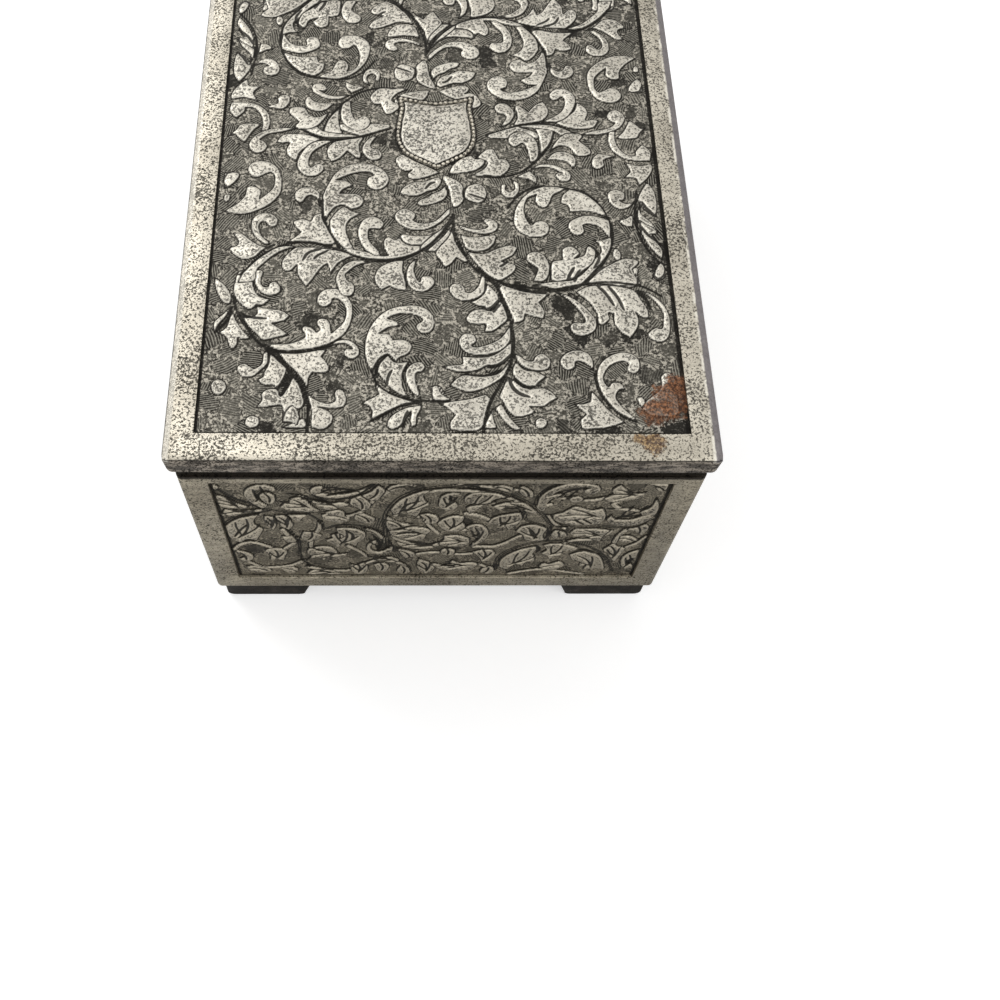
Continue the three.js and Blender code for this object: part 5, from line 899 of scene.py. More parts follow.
# Stems sunk through the leaves: half widths at both ends, then the line
LID_STEMS = """
0.09 0.11 4.9,-24.2 6.7,-26.6 7.8,-29.6 8.5,-32.6 8.7,-35.3 8.3,-38.1 7.2,-40.7 5.7,-43.5 5.0,-45.8
 4.7,-47.7
0.07 0.12 -21.0,-36.6 -19.8,-37.9 -18.5,-39.2 -17.3,-40.6 -16.4,-42.4 -15.9,-44.7 -15.9,-47.7
0.07 0.08 -25.7,-28.6 -25.1,-31.1 -23.8,-33.3 -22.5,-35.2 -21.0,-36.4 -19.2,-36.9 -17.2,-36.9 -15.2,-36.5
 -13.5,-35.9
0.06 0.06 -25.8,-30.2 -26.2,-32.1 -27.6,-34.0
0.07 0.06 -8.5,-39.6 -7.8,-41.3 -6.4,-42.5 -4.6,-43.3 -2.5,-43.6 0.8,-43.6
0.06 0.06 -2.6,-43.8 -4.8,-44.2 -6.8,-45.4 -8.6,-46.4
0.09 0.10 1.7,-15.5 1.7,-17.9 2.4,-20.3 3.6,-23.2 5.5,-25.5 7.3,-27.0
0.08 0.07 5.9,-9.1 8.3,-9.2 11.0,-8.2 13.3,-5.9 15.0,-3.2 15.7,-0.3
0.07 0.07 22.0,-16.9 22.1,-19.1 21.4,-21.7 19.5,-24.4 17.2,-26.9 14.7,-27.5 11.8,-27.2 8.5,-26.6
0.06 0.06 8.8,-14.3 10.2,-12.4 12.2,-11.0 14.8,-10.8 16.8,-11.1 18.9,-11.7 20.7,-13.7 21.8,-16.1
0.08 0.08 -25.1,-25.4 -23.2,-23.0 -21.2,-21.3 -19.2,-20.4 -17.1,-20.2 -15.0,-20.6 -12.9,-21.3 -10.7,-22.4
 -8.2,-23.1 -5.7,-22.9 -3.2,-21.9 -1.1,-20.2 0.6,-17.9 1.7,-15.5
0.07 0.06 -15.2,-13.2 -15.1,-15.6 -14.4,-18.0 -12.9,-20.9
0.06 0.06 -19.2,-0.7 -16.9,-2.1 -14.2,-2.9 -11.1,-2.7 -8.5,-1.7 -6.3,-0.8
0.07 0.06 14.3,-27.6 16.4,-26.9 18.5,-26.5 21.0,-26.2 23.5,-26.5 25.4,-26.9 27.5,-28.3
0.07 0.07 5.5,-25.1 7.3,-26.2 9.3,-27.1 11.8,-27.7 13.9,-27.5
0.06 0.06 18.3,-39.8 18.6,-42.1 19.7,-44.1 21.1,-45.6 22.8,-46.4
0.06 0.06 25.8,-11.4 25.3,-15.3 25.5,-18.5 26.5,-21.2 28.0,-23.3
"""

# Grooves cut into the leaves: half width, then the line
LID_CUTS = """
0.1 -25.0,-30.9 -23.9,-31.6 -22.7,-31.9 -21.5,-32.0
0.13 -19.7,-41.9 -19.0,-41.3 -18.5,-40.4 -18.3,-39.4
0.1 -19.2,-43.0 -18.7,-41.8 -18.1,-40.6 -18.0,-40.0
0.08 -8.1,-40.0 -7.8,-38.7 -6.6,-37.1
0.09 -6.7,-41.5 -6.5,-40.3 -6.1,-39.4
0.1 -4.2,-45.1 -4.6,-46.3 -4.7,-47.2
0.12 5.6,-30.6 6.4,-30.0 7.1,-29.1
0.1 6.4,-30.9 6.9,-30.1 7.2,-29.8
0.1 5.4,-38.9 6.5,-38.7 7.5,-38.0 8.4,-37.0
0.1 2.7,-39.9 5.0,-40.1 7.0,-39.3
0.14 10.3,-43.1 9.1,-42.6 8.3,-41.7 7.9,-40.3
0.1 10.5,-42.0 9.5,-41.4 8.6,-40.5
0.12 19.5,-26.8 20.5,-28.0 21.4,-29.8
0.12 20.9,-26.9 21.9,-28.5 22.6,-30.5
0.12 24.5,-27.5 25.6,-29.0 25.9,-30.3
0.1 -17.4,-23.1 -16.8,-22.0 -15.8,-21.5 -15.2,-21.4
0.08 -16.0,-22.9 -15.5,-22.3 -14.3,-21.6
0.09 -1.9,-11.4 -1.2,-10.5 -0.6,-10.3
0.12 16.8,-24.0 16.3,-24.9 15.9,-25.8
0.12 17.5,-24.4 17.0,-25.4 16.7,-26.2
0.09 18.9,-20.4 19.7,-21.2 20.1,-22.5 19.3,-24.1
0.07 3.8,-12.2 5.0,-12.7 5.8,-13.0
0.08 7.4,-23.9 7.8,-23.7 8.5,-23.1
0.1 26.3,-13.3 26.9,-14.4 27.9,-15.7
0.1 25.8,-17.2 26.7,-18.8 28.1,-20.1
"""


# The same for the front wall, as x and height
WALL_LEAVES = """
-22.5,30.8! -23.8,32.7 -24.3,34.9 -23.5,36.7 -22.1,37.4 -20.7,37.0 -20.2,36.0 -20.8,35.6 -21.7,36.2
 -22.7,35.8 -23.0,34.4 -22.6,33.0 -21.7,31.6
-22.5,34.3 -21.7,35.3 -20.7,34.8 -20.5,33.5 -20.9,32.3 -21.9,32.4
-20.3,31.2! -19.7,32.1 -20.2,32.5! -19.0,32.6 -18.7,33.6 -17.6,34.0 -16.8,33.3 -16.4,32.1! -16.0,31.2
 -15.1,30.0! -17.2,29.9 -19.1,30.3
-19.1,34.8! -17.4,34.5 -16.5,33.8 -15.4,32.7 -13.9,32.3 -12.4,32.6 -11.3,31.9! -12.5,31.2 -13.8,30.4
 -15.0,30.9 -15.9,32.1 -16.6,33.7
-8.4,37.5! -9.7,36.2 -11.5,35.1 -13.2,34.7 -14.4,35.1 -14.7,35.9 -14.4,36.7 -15.1,37.1 -16.0,36.3
 -16.1,35.1 -15.2,34.3 -13.4,33.7 -11.5,34.2 -9.7,35.3 -8.7,36.5
-9.9,34.5! -8.7,35.6 -7.7,37.3! -6.9,35.9 -7.3,34.5! -7.9,33.2 -8.9,33.2
-11.2,33.8! -10.1,34.4 -9.3,33.4 -8.7,32.1! -9.0,30.8 -10.0,30.1! -10.6,31.2 -11.4,32.1
-28.3,24.9! -27.6,26.6 -26.0,27.9 -24.1,28.7 -23.0,29.1! -23.8,27.5 -23.9,26.0 -22.9,24.7! -23.5,22.9
 -24.3,20.9! -25.2,21.6 -26.5,20.4! -27.4,21.4 -28.0,23.0
-22.5,28.7! -22.6,27.1 -22.2,25.3 -21.7,24.3! -21.2,25.5 -21.1,27.1 -21.4,28.4!
-21.2,28.9! -20.9,27.3 -20.6,25.5 -19.6,24.4! -19.0,25.7 -19.2,27.3 -19.8,28.7!
-19.5,28.9! -18.9,27.6 -18.1,26.7! -17.6,27.9 -16.8,29.0!
-28.4,37.0 -27.5,37.3 -27.0,36.7 -27.6,36.0 -28.4,36.2
-28.0,34.9! -26.7,33.9 -25.4,32.3 -23.9,31.2! -25.6,30.8 -27.4,31.2! -28.2,32.7
-27.2,30.6! -25.6,30.1 -23.5,30.1! -25.0,29.4 -26.8,28.6! -27.6,29.5
-15.2,28.8! -14.4,29.9 -13.0,30.4 -12.2,29.8 -12.1,28.6 -11.4,28.3! -11.8,27.3 -12.8,26.6 -14.1,27.1
 -15.0,27.7
-10.8,29.2! -9.9,29.4 -9.1,28.8! -8.3,27.7 -8.7,26.4! -9.9,26.6 -11.0,27.7
-13.6,24.9! -12.1,25.1 -10.6,24.5 -9.7,23.2 -9.9,21.7 -10.8,20.3 -11.1,18.8! -11.9,20.1 -12.8,19.9
 -13.6,18.6! -14.2,19.9 -15.2,21.2! -14.2,21.8 -14.4,22.8! -13.4,23.3
-13.1,23.3! -12.6,22.4 -13.1,21.7
-10.0,24.7! -8.7,23.6 -8.0,22.0 -7.5,20.5 -7.0,18.8 -7.5,17.7 -8.5,17.4 -9.1,18.3 -9.0,19.4 -8.3,20.2
 -8.4,21.1 -9.1,20.6 -9.7,19.3 -9.7,17.6 -8.7,16.6 -7.3,16.5 -6.3,17.4 -6.2,19.2 -6.9,21.6 -7.9,23.8
 -9.0,24.8
-17.6,18.3! -16.3,19.1 -14.8,19.1 -14.0,18.1 -13.5,16.7 -12.3,16.8! -12.8,15.7 -13.8,15.0 -14.8,15.7
 -15.8,14.3! -16.6,15.5 -18.3,14.1! -17.4,15.7 -17.9,17.0
-23.6,17.7! -22.7,18.5 -21.2,18.4 -20.5,17.2 -20.9,15.9 -21.2,14.4! -22.1,14.8 -23.2,14.4! -23.0,15.9
-20.9,22.3! -19.5,22.5 -18.5,21.6 -19.2,20.5! -20.3,20.6
-17.9,23.9! -16.4,23.7 -15.4,22.6! -16.2,21.4 -17.4,20.6! -18.3,21.8
-27.7,17.9! -26.4,17.4 -25.3,16.1 -25.6,14.6 -26.7,14.1 -27.3,14.9 -26.6,15.6 -27.0,16.4
-26.8,12.2! -25.4,12.4 -23.8,11.7 -23.2,10.5! -25.0,10.0 -26.4,10.7
-22.1,11.7! -20.6,12.2 -19.5,11.2 -19.9,10.0! -21.3,10.2
-18.5,9.4! -17.7,10.8 -16.0,11.1 -14.5,10.6 -13.4,9.4! -15.8,9.3
-12.2,13.4! -11.4,12.6 -10.3,13.7! -9.7,12.0 -10.0,10.2 -11.1,9.3! -12.1,10.5
-8.9,12.9! -7.7,13.5 -6.7,12.4 -7.1,10.6! -8.4,10.6
-9.7,15.5! -8.3,15.2 -6.5,15.7! -5.3,14.4 -6.0,13.7 -7.7,14.1
-6.1,35.6 -5.1,36.6 -4.0,36.9 -3.4,37.5 -4.7,37.7 -6.1,37.2 -6.7,36.2
-6.5,30.8! -6.0,32.5 -4.6,34.4 -2.6,35.7 -1.2,36.0! -2.2,34.5 -1.9,33.0 -1.3,32.0! -2.2,31.1 -2.6,29.5
 -3.1,28.4! -4.2,29.5 -4.9,30.9! -5.2,29.6! -5.9,29.1
-6.9,28.8! -6.1,27.7 -4.9,26.6 -3.4,26.1! -4.9,25.3 -6.7,24.4! -7.1,26.6
-6.7,24.2! -5.3,24.4 -3.9,25.3 -2.0,25.1 -1.0,24.2! -1.6,22.9 -2.1,21.4 -3.4,21.1 -5.0,21.5 -6.2,22.7
-2.8,29.0! -1.6,29.4 -0.4,28.8! -0.1,27.3 -1.0,26.3 -2.2,26.6! -1.9,27.7
-5.9,21.2! -4.7,20.1 -3.0,19.5 -1.2,19.5 -0.2,20.3 0.4,19.9 -0.4,18.8 -2.0,18.3 -3.9,18.5 -5.3,19.4
-5.7,18.3! -4.5,17.9 -3.2,16.8 -3.4,15.5 -4.7,15.3! -5.1,16.6
-5.1,12.9! -4.1,11.9 -3.7,10.2! -4.7,9.5 -5.7,10.5
-2.6,14.8! -1.2,13.7 -0.3,12.2 -0.6,10.7 -1.6,9.6! -2.6,10.9 -2.9,12.9
-0.3,32.7 0.0,34.4 1.2,35.3 2.4,35.0 1.2,34.3 1.0,33.2 1.8,32.6 2.2,31.5 1.6,30.6 0.4,30.6 -0.3,31.5
2.9,34.0 3.9,35.3 5.4,35.4 7.0,35.0 8.3,34.0! 7.0,33.7 6.3,33.0! 6.9,32.3 5.5,31.9 4.7,30.6 3.7,29.4!
 3.2,31.0 4.2,32.1 3.0,32.6
6.4,31.4! 7.7,32.4 9.3,32.7 10.9,32.2 12.1,30.7 12.8,29.2! 11.2,29.8 9.5,31.0 8.1,31.1 7.6,30.2!
6.1,26.6! 6.9,28.3 8.5,29.2 10.2,29.7! 10.6,27.9 10.1,26.1 9.1,24.3! 8.6,25.5 8.3,26.8! 7.3,26.2
4.1,26.1 5.3,26.1 6.2,24.9 6.6,23.1 6.2,21.2 5.3,19.9! 4.3,18.8! 4.6,20.3 5.3,21.4 4.4,22.0! 5.3,22.9
 4.5,24.0 3.3,25.1!
-0.4,26.4! 0.4,27.9 1.8,28.8 3.2,28.4! 3.0,26.8 3.4,25.3 2.6,24.0! 1.2,24.0 0.2,24.9
0.6,22.5! 2.4,22.8 4.1,21.7! 4.1,20.1 3.0,19.2 1.2,19.1 0.0,19.9 0.6,21.2
0.5,18.1 1.5,18.4 2.3,17.7 2.2,16.6 1.2,16.0 0.4,16.8
4.7,17.2! 5.9,18.0 7.3,18.1! 7.9,16.6 7.3,14.8 6.1,13.7! 5.7,15.3
-1.0,13.3! -0.2,11.8 1.2,10.9 3.2,10.7 4.9,11.4 5.8,13.0! 4.7,13.7 3.2,13.4 2.0,14.4! 1.7,13.3 2.4,12.3
 1.2,12.2 0.2,13.0
6.3,11.5! 7.5,12.2 8.2,10.7 7.3,9.4! 6.1,10.0
12.2,30.3! 11.9,32.3 12.2,34.3 13.2,36.2 15.0,37.7 17.0,37.9 18.9,37.3 19.5,36.0 18.9,35.0 17.8,35.1
 17.4,36.0 18.1,36.6 16.8,36.9 15.1,36.5 13.9,35.1! 14.8,34.9 15.4,34.3! 14.0,33.8 13.4,32.6! 14.2,32.0
 13.4,31.2 13.2,30.1!
9.5,37.1! 10.3,36.7 11.3,35.3 11.4,33.8! 10.3,34.3 9.5,35.6
14.4,29.0! 15.6,29.7! 16.4,30.9! 17.0,31.5 18.3,30.8 19.3,30.4 20.5,31.0! 21.1,29.5 21.3,27.9 20.9,26.4!
 19.5,26.0 17.2,26.1 15.4,26.8 14.6,27.7
21.1,30.4! 22.7,30.1 25.6,29.5! 25.7,28.6 24.6,27.7 22.9,27.6 21.9,28.8! 21.5,27.5 22.3,26.3 24.1,25.7
 26.0,26.3 27.3,28.2 27.7,30.3 27.4,32.3 26.8,33.8! 26.6,31.6 25.8,30.4 24.3,30.8 22.7,30.9
20.1,33.7! 21.1,34.8 20.9,36.2 21.7,37.5! 22.7,36.2 23.7,35.1 25.3,35.4! 24.6,33.8 22.9,33.2 21.3,32.7
24.6,37.7! 25.8,37.1 26.6,35.8 27.6,35.6! 27.6,37.8!
16.1,34.0 17.1,34.3 17.7,33.4 16.9,32.6 16.0,33.1
17.7,24.7! 17.3,23.3 18.2,22.3 19.3,22.8! 20.1,21.8 21.7,20.7! 21.9,22.5 22.6,24.4! 20.3,24.8
15.2,24.4! 14.8,22.9 15.4,21.3! 16.1,22.3 17.1,22.5! 16.6,23.6
10.6,25.5! 11.8,26.1 13.2,25.6 14.2,24.7! 13.8,22.7 14.2,21.2! 12.8,20.9 11.4,21.4! 11.0,22.9 10.0,23.9!
24.6,24.4! 25.6,24.2 26.8,22.9 27.3,23.6 27.5,25.3 26.6,26.6! 25.4,25.7
24.1,22.5! 25.6,22.5 26.8,21.2! 25.6,20.5 24.2,20.9
8.7,12.0! 8.7,14.2 9.5,16.2 11.2,18.1 13.3,19.2! 13.4,17.9 13.0,16.6! 13.4,15.5 13.6,14.1! 12.4,13.7
 12.0,12.2! 11.0,13.0 9.9,11.1!
14.1,19.5! 14.8,17.9 14.1,16.8! 15.0,15.9 15.6,14.4! 16.1,15.7 17.0,16.2 17.1,17.7! 18.5,17.7 19.1,18.4!
 17.9,19.4 16.4,20.0 15.2,20.0
18.1,16.2! 19.2,17.2 20.8,17.2 22.3,15.9 23.1,14.0 23.8,11.3! 22.2,11.5 20.7,11.1! 20.9,12.6 20.0,12.1!
 19.9,13.7 18.9,14.1
14.6,13.3! 15.8,13.1 17.0,14.0 17.9,12.6 17.1,11.3! 15.4,11.1 14.4,11.9
22.9,18.8! 23.6,20.2 24.3,19.2 25.6,18.5! 25.3,16.7 25.0,15.0 24.7,13.6! 23.9,15.2 23.2,16.8 22.5,17.9
27.6,18.1! 26.4,17.2 25.6,15.5 25.7,13.3 26.2,11.8 27.0,11.3 27.6,12.2 27.2,13.0 26.6,12.9 26.6,14.4
 27.6,15.5!
2.0,37.8! 3.4,37.5 4.5,37.0 3.4,36.9 1.4,37.1
6.1,37.1! 7.5,37.3 8.7,36.5 8.4,35.6 7.3,35.9
"""

WALL_STEMS = """
0.16 0.20 -28.6,36.5 -27.2,35.6 -25.8,33.5 -23.9,32.0 -22.1,30.4 -19.9,29.7 -17.2,29.5 -14.8,29.4
0.18 0.14 -28.3,25.3 -26.4,27.7 -23.8,29.0 -21.9,29.7
0.14 0.16 -16.8,29.0 -15.4,26.6 -15.0,24.4 -13.6,25.4 -11.8,25.7 -9.7,25.1 -8.1,23.9 -7.0,21.6 -6.5,19.2
0.16 0.14 -15.8,34.4 -14.2,33.4 -12.6,33.2 -11.0,33.9 -9.3,35.8 -8.2,37.5
0.20 0.22 -6.8,18.5 -7.0,21.8 -7.2,25.1 -7.1,28.4 -6.4,31.0 -5.0,33.8 -2.5,35.9 0.0,36.6 2.4,36.7 5.1,36.0
 7.6,35.0 9.9,33.3 11.7,31.2 13.0,29.0 13.9,27.1 14.8,25.6 17.2,25.4 20.3,25.4 23.3,25.0 25.6,25.4
 27.3,27.3
0.18 0.16 13.6,25.5 11.2,27.1 10.8,29.2 9.7,30.8
0.16 0.14 11.9,31.9 12.1,34.3 13.2,36.5 15.0,37.9
0.20 0.16 8.3,10.9 8.2,13.5 8.8,16.1 10.6,18.4 12.8,20.0 15.0,20.6 17.0,20.6 19.3,19.4 21.5,17.7 23.2,15.2
 24.3,12.4 25.0,10.2
0.16 0.12 14.7,25.4 14.4,23.1 14.6,20.7
0.14 0.12 -19.7,24.4 -18.7,20.1 -18.9,15.7 -17.9,12.2
"""

# Raised stalks under the leaves
WALL_STALKS = """
0.45 0.30 -5.7,29.0 -5.3,32.2 -3.6,34.7 -0.8,35.8 2.0,35.9 5.1,35.4 8.1,34.0 10.3,32.1
0.45 0.30 -6.3,24.5 -5.9,22.0 -4.3,20.4 -2.0,19.6
0.40 0.30 -15.4,26.6 -15.8,24.4 -16.6,22.5 -17.2,19.0 -16.7,16.4
0.40 0.30 -18.9,20.7 -20.9,18.1 -21.9,15.8
0.40 0.30 -18.5,14.2 -20.8,12.4 -24.3,12.0 -26.4,14.1
0.40 0.30 -18.0,12.0 -15.2,10.7 -12.2,10.9 -10.1,13.1 -8.3,14.7
0.40 0.30 -8.3,14.7 -6.1,14.0 -4.3,12.0 -3.9,10.0
0.35 0.30 -3.2,16.4 -1.4,17.0 0.6,17.0 3.0,16.4 5.1,16.9
0.45 0.35 4.7,19.1 7.3,19.0 9.1,20.3 10.6,22.3 12.6,24.4
0.35 0.25 5.8,13.0 7.1,11.8 8.2,10.9
0.50 0.35 3.2,24.5 1.4,26.2 -0.6,27.7 -2.8,28.4
0.45 0.35 3.3,29.4 5.1,28.6 6.5,27.3 9.1,24.9
0.40 0.30 24.6,24.4 23.9,22.5 23.7,20.1 23.9,17.4
0.40 0.30 17.0,20.3 18.5,21.2 21.1,21.6 22.7,24.0
0.40 0.25 20.3,33.8 18.7,33.2 16.7,33.3 14.2,34.0
0.45 0.30 22.7,30.8 21.7,32.1 22.7,33.4
0.35 0.25 9.5,36.0 7.3,36.5 4.5,37.1 1.4,37.4
0.40 0.35 -3.4,37.3 -5.5,36.7 -7.1,34.9 -8.3,33.4 -9.4,30.8 -11.0,29.0 -12.8,28.4
0.40 0.30 -20.5,24.4 -19.7,21.8 -19.1,20.6
0.40 0.30 -27.8,29.0 -25.4,29.7 -22.7,30.3
0.40 0.30 -27.7,17.9 -26.4,19.9 -24.6,20.3 -22.3,18.5
0.35 0.25 10.3,9.6 12.8,10.7 15.2,11.1 18.3,10.2 20.9,9.4
0.35 0.25 -0.2,23.3 -1.6,26.2 -2.4,29.0
0.35 0.25 -12.2,19.2 -10.6,17.2 -9.7,15.3
0.35 0.25 16.4,24.9 15.0,26.2 13.8,28.8
0.35 0.25 25.6,18.8 26.8,20.3 27.6,22.3
"""

WALL_CUTS = """
0.12 -12.3,24.4 -11.4,22.9 -11.6,21.2
0.12 -17.4,18.8 -15.8,17.7 -14.6,16.4
0.12 6.4,32.8 7.5,33.4 9.0,33.2
0.12 11.8,24.7 12.4,22.9 13.1,21.8
0.12 17.4,27.7 17.9,26.9 18.7,26.3
0.12 18.5,27.7 19.0,27.1 19.7,26.4
0.14 21.5,30.4 23.3,30.1 25.2,29.8
0.12 13.4,19.0 13.8,17.9 13.6,16.8
0.12 19.2,17.7 20.3,17.6 21.3,16.8
0.12 -4.9,30.8 -4.1,32.1 -2.6,33.0
0.10 -27.0,22.3 -26.0,24.4 -24.8,26.2
0.10 -5.5,23.3 -4.3,23.8 -2.6,23.3
"""


# Tiles: a relief set into a sunk field as one closed block
BACKING = 0.14


def relief_tile(name, relief, depth, origin, across, along, body, material):
    """across and along are the tile's directions; the relief rises along their cross product."""
    across, along = np.array(across, float), np.array(along, float)
    out = np.cross(across, along)
    rise = relief.heights(depth)
    u, v = np.meshgrid(relief.u, relief.v)
    top = np.array(origin) + u[..., None] * across + v[..., None] * along + rise[..., None] * out
    slope_v, slope_u = np.gradient(rise, relief.v, relief.u)
    normals = out - slope_u[..., None] * across - slope_v[..., None] * along
    quads, ring = grid_faces(*rise.shape)
    level = top - (rise + BACKING)[..., None] * out
    back = level.reshape(-1, 3)[ring]
    lower = rise.size + np.arange(len(ring))
    skirt = np.stack([ring, lower, np.roll(lower, -1), np.roll(ring, -1)], -1)
    centre = rise.size + len(ring)
    fan = [(centre, int(b), int(a)) for a, b in zip(lower, np.roll(lower, -1))]
    corners = np.vstack([top.reshape(-1, 3), back, back.mean(0)])
    faces = quads.tolist() + skirt.tolist() + fan
    piece = mesh_piece(name, corners, faces, material)
    mesh = piece.data
    outer = np.vstack([normals.reshape(-1, 3), np.tile(-out, (len(ring) + 1, 1))])
    outer /= np.linalg.norm(outer, axis=1)[:, None]
    mesh.normals_split_custom_set_from_vertices(outer.tolist())
    add_relief_values(mesh, relief, len(ring) + 1)
    add_flat_map(mesh, u, v, ring)
    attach(piece, body)


def add_relief_values(mesh, relief, spare):
    """The leaf and groove distances, for the finish to read."""
    for label, field in (("leaf", relief.cover), ("groove", relief.line)):
        values = np.concatenate([np.clip(field, -2, 2).ravel(), np.zeros(spare)])
        mesh.attributes.new(label, "FLOAT", "POINT").data.foreach_set("value", values)


def add_flat_map(mesh, u, v, ring):
    """The top lies flat on the map and the hidden sides lie in a strip beside it."""
    size = max(np.ptp(u), np.ptp(v)) * 1.04
    flat = np.stack([(u - u.min()) / size, (v - v.min()) / size], -1).reshape(-1, 2)
    strip = np.stack([np.linspace(0, 0.99, len(ring)), np.full(len(ring), 0.995)], -1)
    places = np.vstack([flat, strip, [[0.5, 0.985]]])
    numbers = np.empty(len(mesh.loops), int)
    mesh.loops.foreach_get("vertex_index", numbers)
    layer = mesh.uv_layers.new(name="flat_map")
    layer.data.foreach_set("uv", places[numbers].astype(np.float32).ravel())


# Panels drawn from those lines
def entries(text):
    """One drawn line each; a row that starts with a space goes on with the one before."""
    return text.strip().replace("\n ", " ").splitlines()


def smooth_line(text):
    return curve_through(read_points(text)[0])


def draw_stems(relief, place, lines, raised):
    for text in entries(lines):
        start, end, line = text.split(" ", 2)
        relief.stem(place(smooth_line(line)), float(start), float(end), raised)


def draw(relief, place, leaves, stems, cuts, stalks="", veined=False):
    """Stalks and leaves, then the stems through them, then the cuts; place moves each line."""
    draw_stems(relief, place, stalks, raised=True)
    for text in entries(leaves):
        spots, tips = read_points(text)
        outline = leaf_outline(place(spots), tips)
        relief.leaf(outline)
        if veined:
            relief.vein(outline)
    draw_stems(relief, place, stems, raised=False)
    for text in entries(cuts):
        width, line = text.split(" ", 1)
        relief.cut(place(smooth_line(line)), float(width))


# The lid's field: the front half as drawn, the rear half the same turned round the shield
LID_LINES = LID_LEAVES, LID_STEMS, LID_CUTS
LID_RELIEF_DEPTH, WALL_RELIEF_DEPTH = 0.24, 0.36
SHIELD_HALF = 5.4
SHIELD_SHIFT = (-0.4, 0)
RIM_INSET, RIM_HALF = 0.36, 0.37


def as_drawn(line):
    return line


def turned(line):
    return 2 * MIDDLE - line


def shield_outline(grow=0.0):
    """The shield's rim, point to the front, in the lid's plane; grow widens it."""
    top = [(0, 5.3), (2.7, 5.7), (5.2, 6.3), (4.9, 4.4), (5.3, 1.5)]
    right = top + [(SHIELD_HALF, -1.5), (4.4, -3.9), (2.6, -5.2), (0, -6.7)]
    ring = right + [(-x, y) for x, y in right[-2:0:-1]]
    spots = np.array(ring) * (1 + grow / SHIELD_HALF) + MIDDLE + SHIELD_SHIFT
    return leaf_outline(spots, [0, 2, 8, 14])


def lid_panel(name, low, high, beyond, own, outer):
    """Half the field, with the other half's foliage reaching in under its own; outer is its outer edge."""
    relief = Relief((-LID_FIELD_HALF, low), (LID_FIELD_HALF, high))
    draw(relief, beyond, *LID_LINES)
    draw(relief, own, *LID_LINES)
    relief.leaf(shield_outline())
    rim = shield_outline(-RIM_INSET)
    relief.stem(np.vstack([rim, rim[:1]]), RIM_HALF, RIM_HALF)
    # Grooves inside the frame, widest on the right: their dark line is partly painted shadow of the raised
    # frame
    relief.rim(left=0.22, right=0.34, **{outer: 0.18})
    origin = (0, 0, LID_FIELD)
    relief_tile(name, relief, LID_RELIEF_DEPTH, origin, (1, 0, 0), (0, 1, 0), "lid", lid_relief)


lid_panel("lid_relief_front", LID_FIELD_FRONT, MIDDLE[1], turned, as_drawn, "low")
lid_panel("lid_relief_rear", MIDDLE[1], LID_FIELD_REAR, as_drawn, turned, "high")


# The walls' fields: the front wall's drawing, its mirror image behind, and the lid's on the long walls
WALL_MIDDLE = 23.4
FOLIAGE_MIDDLE = (0, -26.0)
COPY_SIZE = (0.535, 0.665)
COPY_SPACING = 30.9
BOSS_RISE, BOSS_RADIUS = 13.4, 1.3


def wall_tile(name, relief, origin, across, material):
    relief.rim(left=0.30, right=0.30, low=0.12, high=0.12)
    relief_tile(name, relief, WALL_RELIEF_DEPTH, origin, across, (0, 0, 1), "case", material)


def end_panel(flip):
    """The front wall's drawing, or its mirror image where flip is -1."""
    relief = Relief((-END_FIELD_HALF, WALL_FIELD_LOW), (END_FIELD_HALF, WALL_FIELD_HIGH))
    lines = WALL_LEAVES, WALL_STEMS, WALL_CUTS, WALL_STALKS
    draw(relief, lambda line: line * (flip, 1), *lines, veined=True)
    return relief


def side_panel():
    """Three smaller copies of the lid's foliage side by side, the middle one upside down."""
    relief = Relief((-SIDE_FIELD_HALF, WALL_FIELD_LOW), (SIDE_FIELD_HALF, WALL_FIELD_HIGH))
    for by, flip in ((-COPY_SPACING, (1, 1)), (COPY_SPACING, (-1, 1)), (0, (1, -1))):
        relief.ball((by, WALL_MIDDLE + flip[1] * BOSS_RISE), BOSS_RADIUS)
        draw(relief, smaller(by, np.multiply(flip, COPY_SIZE)), *LID_LINES)
    return relief


def smaller(by, size):
    """The lid's front half brought to the size of a wall's panel, about its own middle."""
    return lambda line: (line - FOLIAGE_MIDDLE) * size + (by, WALL_MIDDLE)


wall_tile("front_relief", end_panel(1), (0, FRONT_FIELD, 0), (1, 0, 0), end_relief)
wall_tile("back_relief", end_panel(-1), (0, BACK_FIELD, 0), (-1, 0, 0), end_relief)
wall_tile("right_relief", side_panel(), (SIDE_FIELD, MIDDLE[1], 0), (0, 1, 0), side_relief)
wall_tile("left_relief", side_panel(), (-SIDE_FIELD, MIDDLE[1], 0), (0, -1, 0), side_relief)


# The shield's beaded rim, set along its outline by geometry nodes
BEAD_LEVEL = 44.55
BEAD_SPACING, BEAD_RADIUS, BEAD_STRETCH = 0.70, 0.225, 1.35


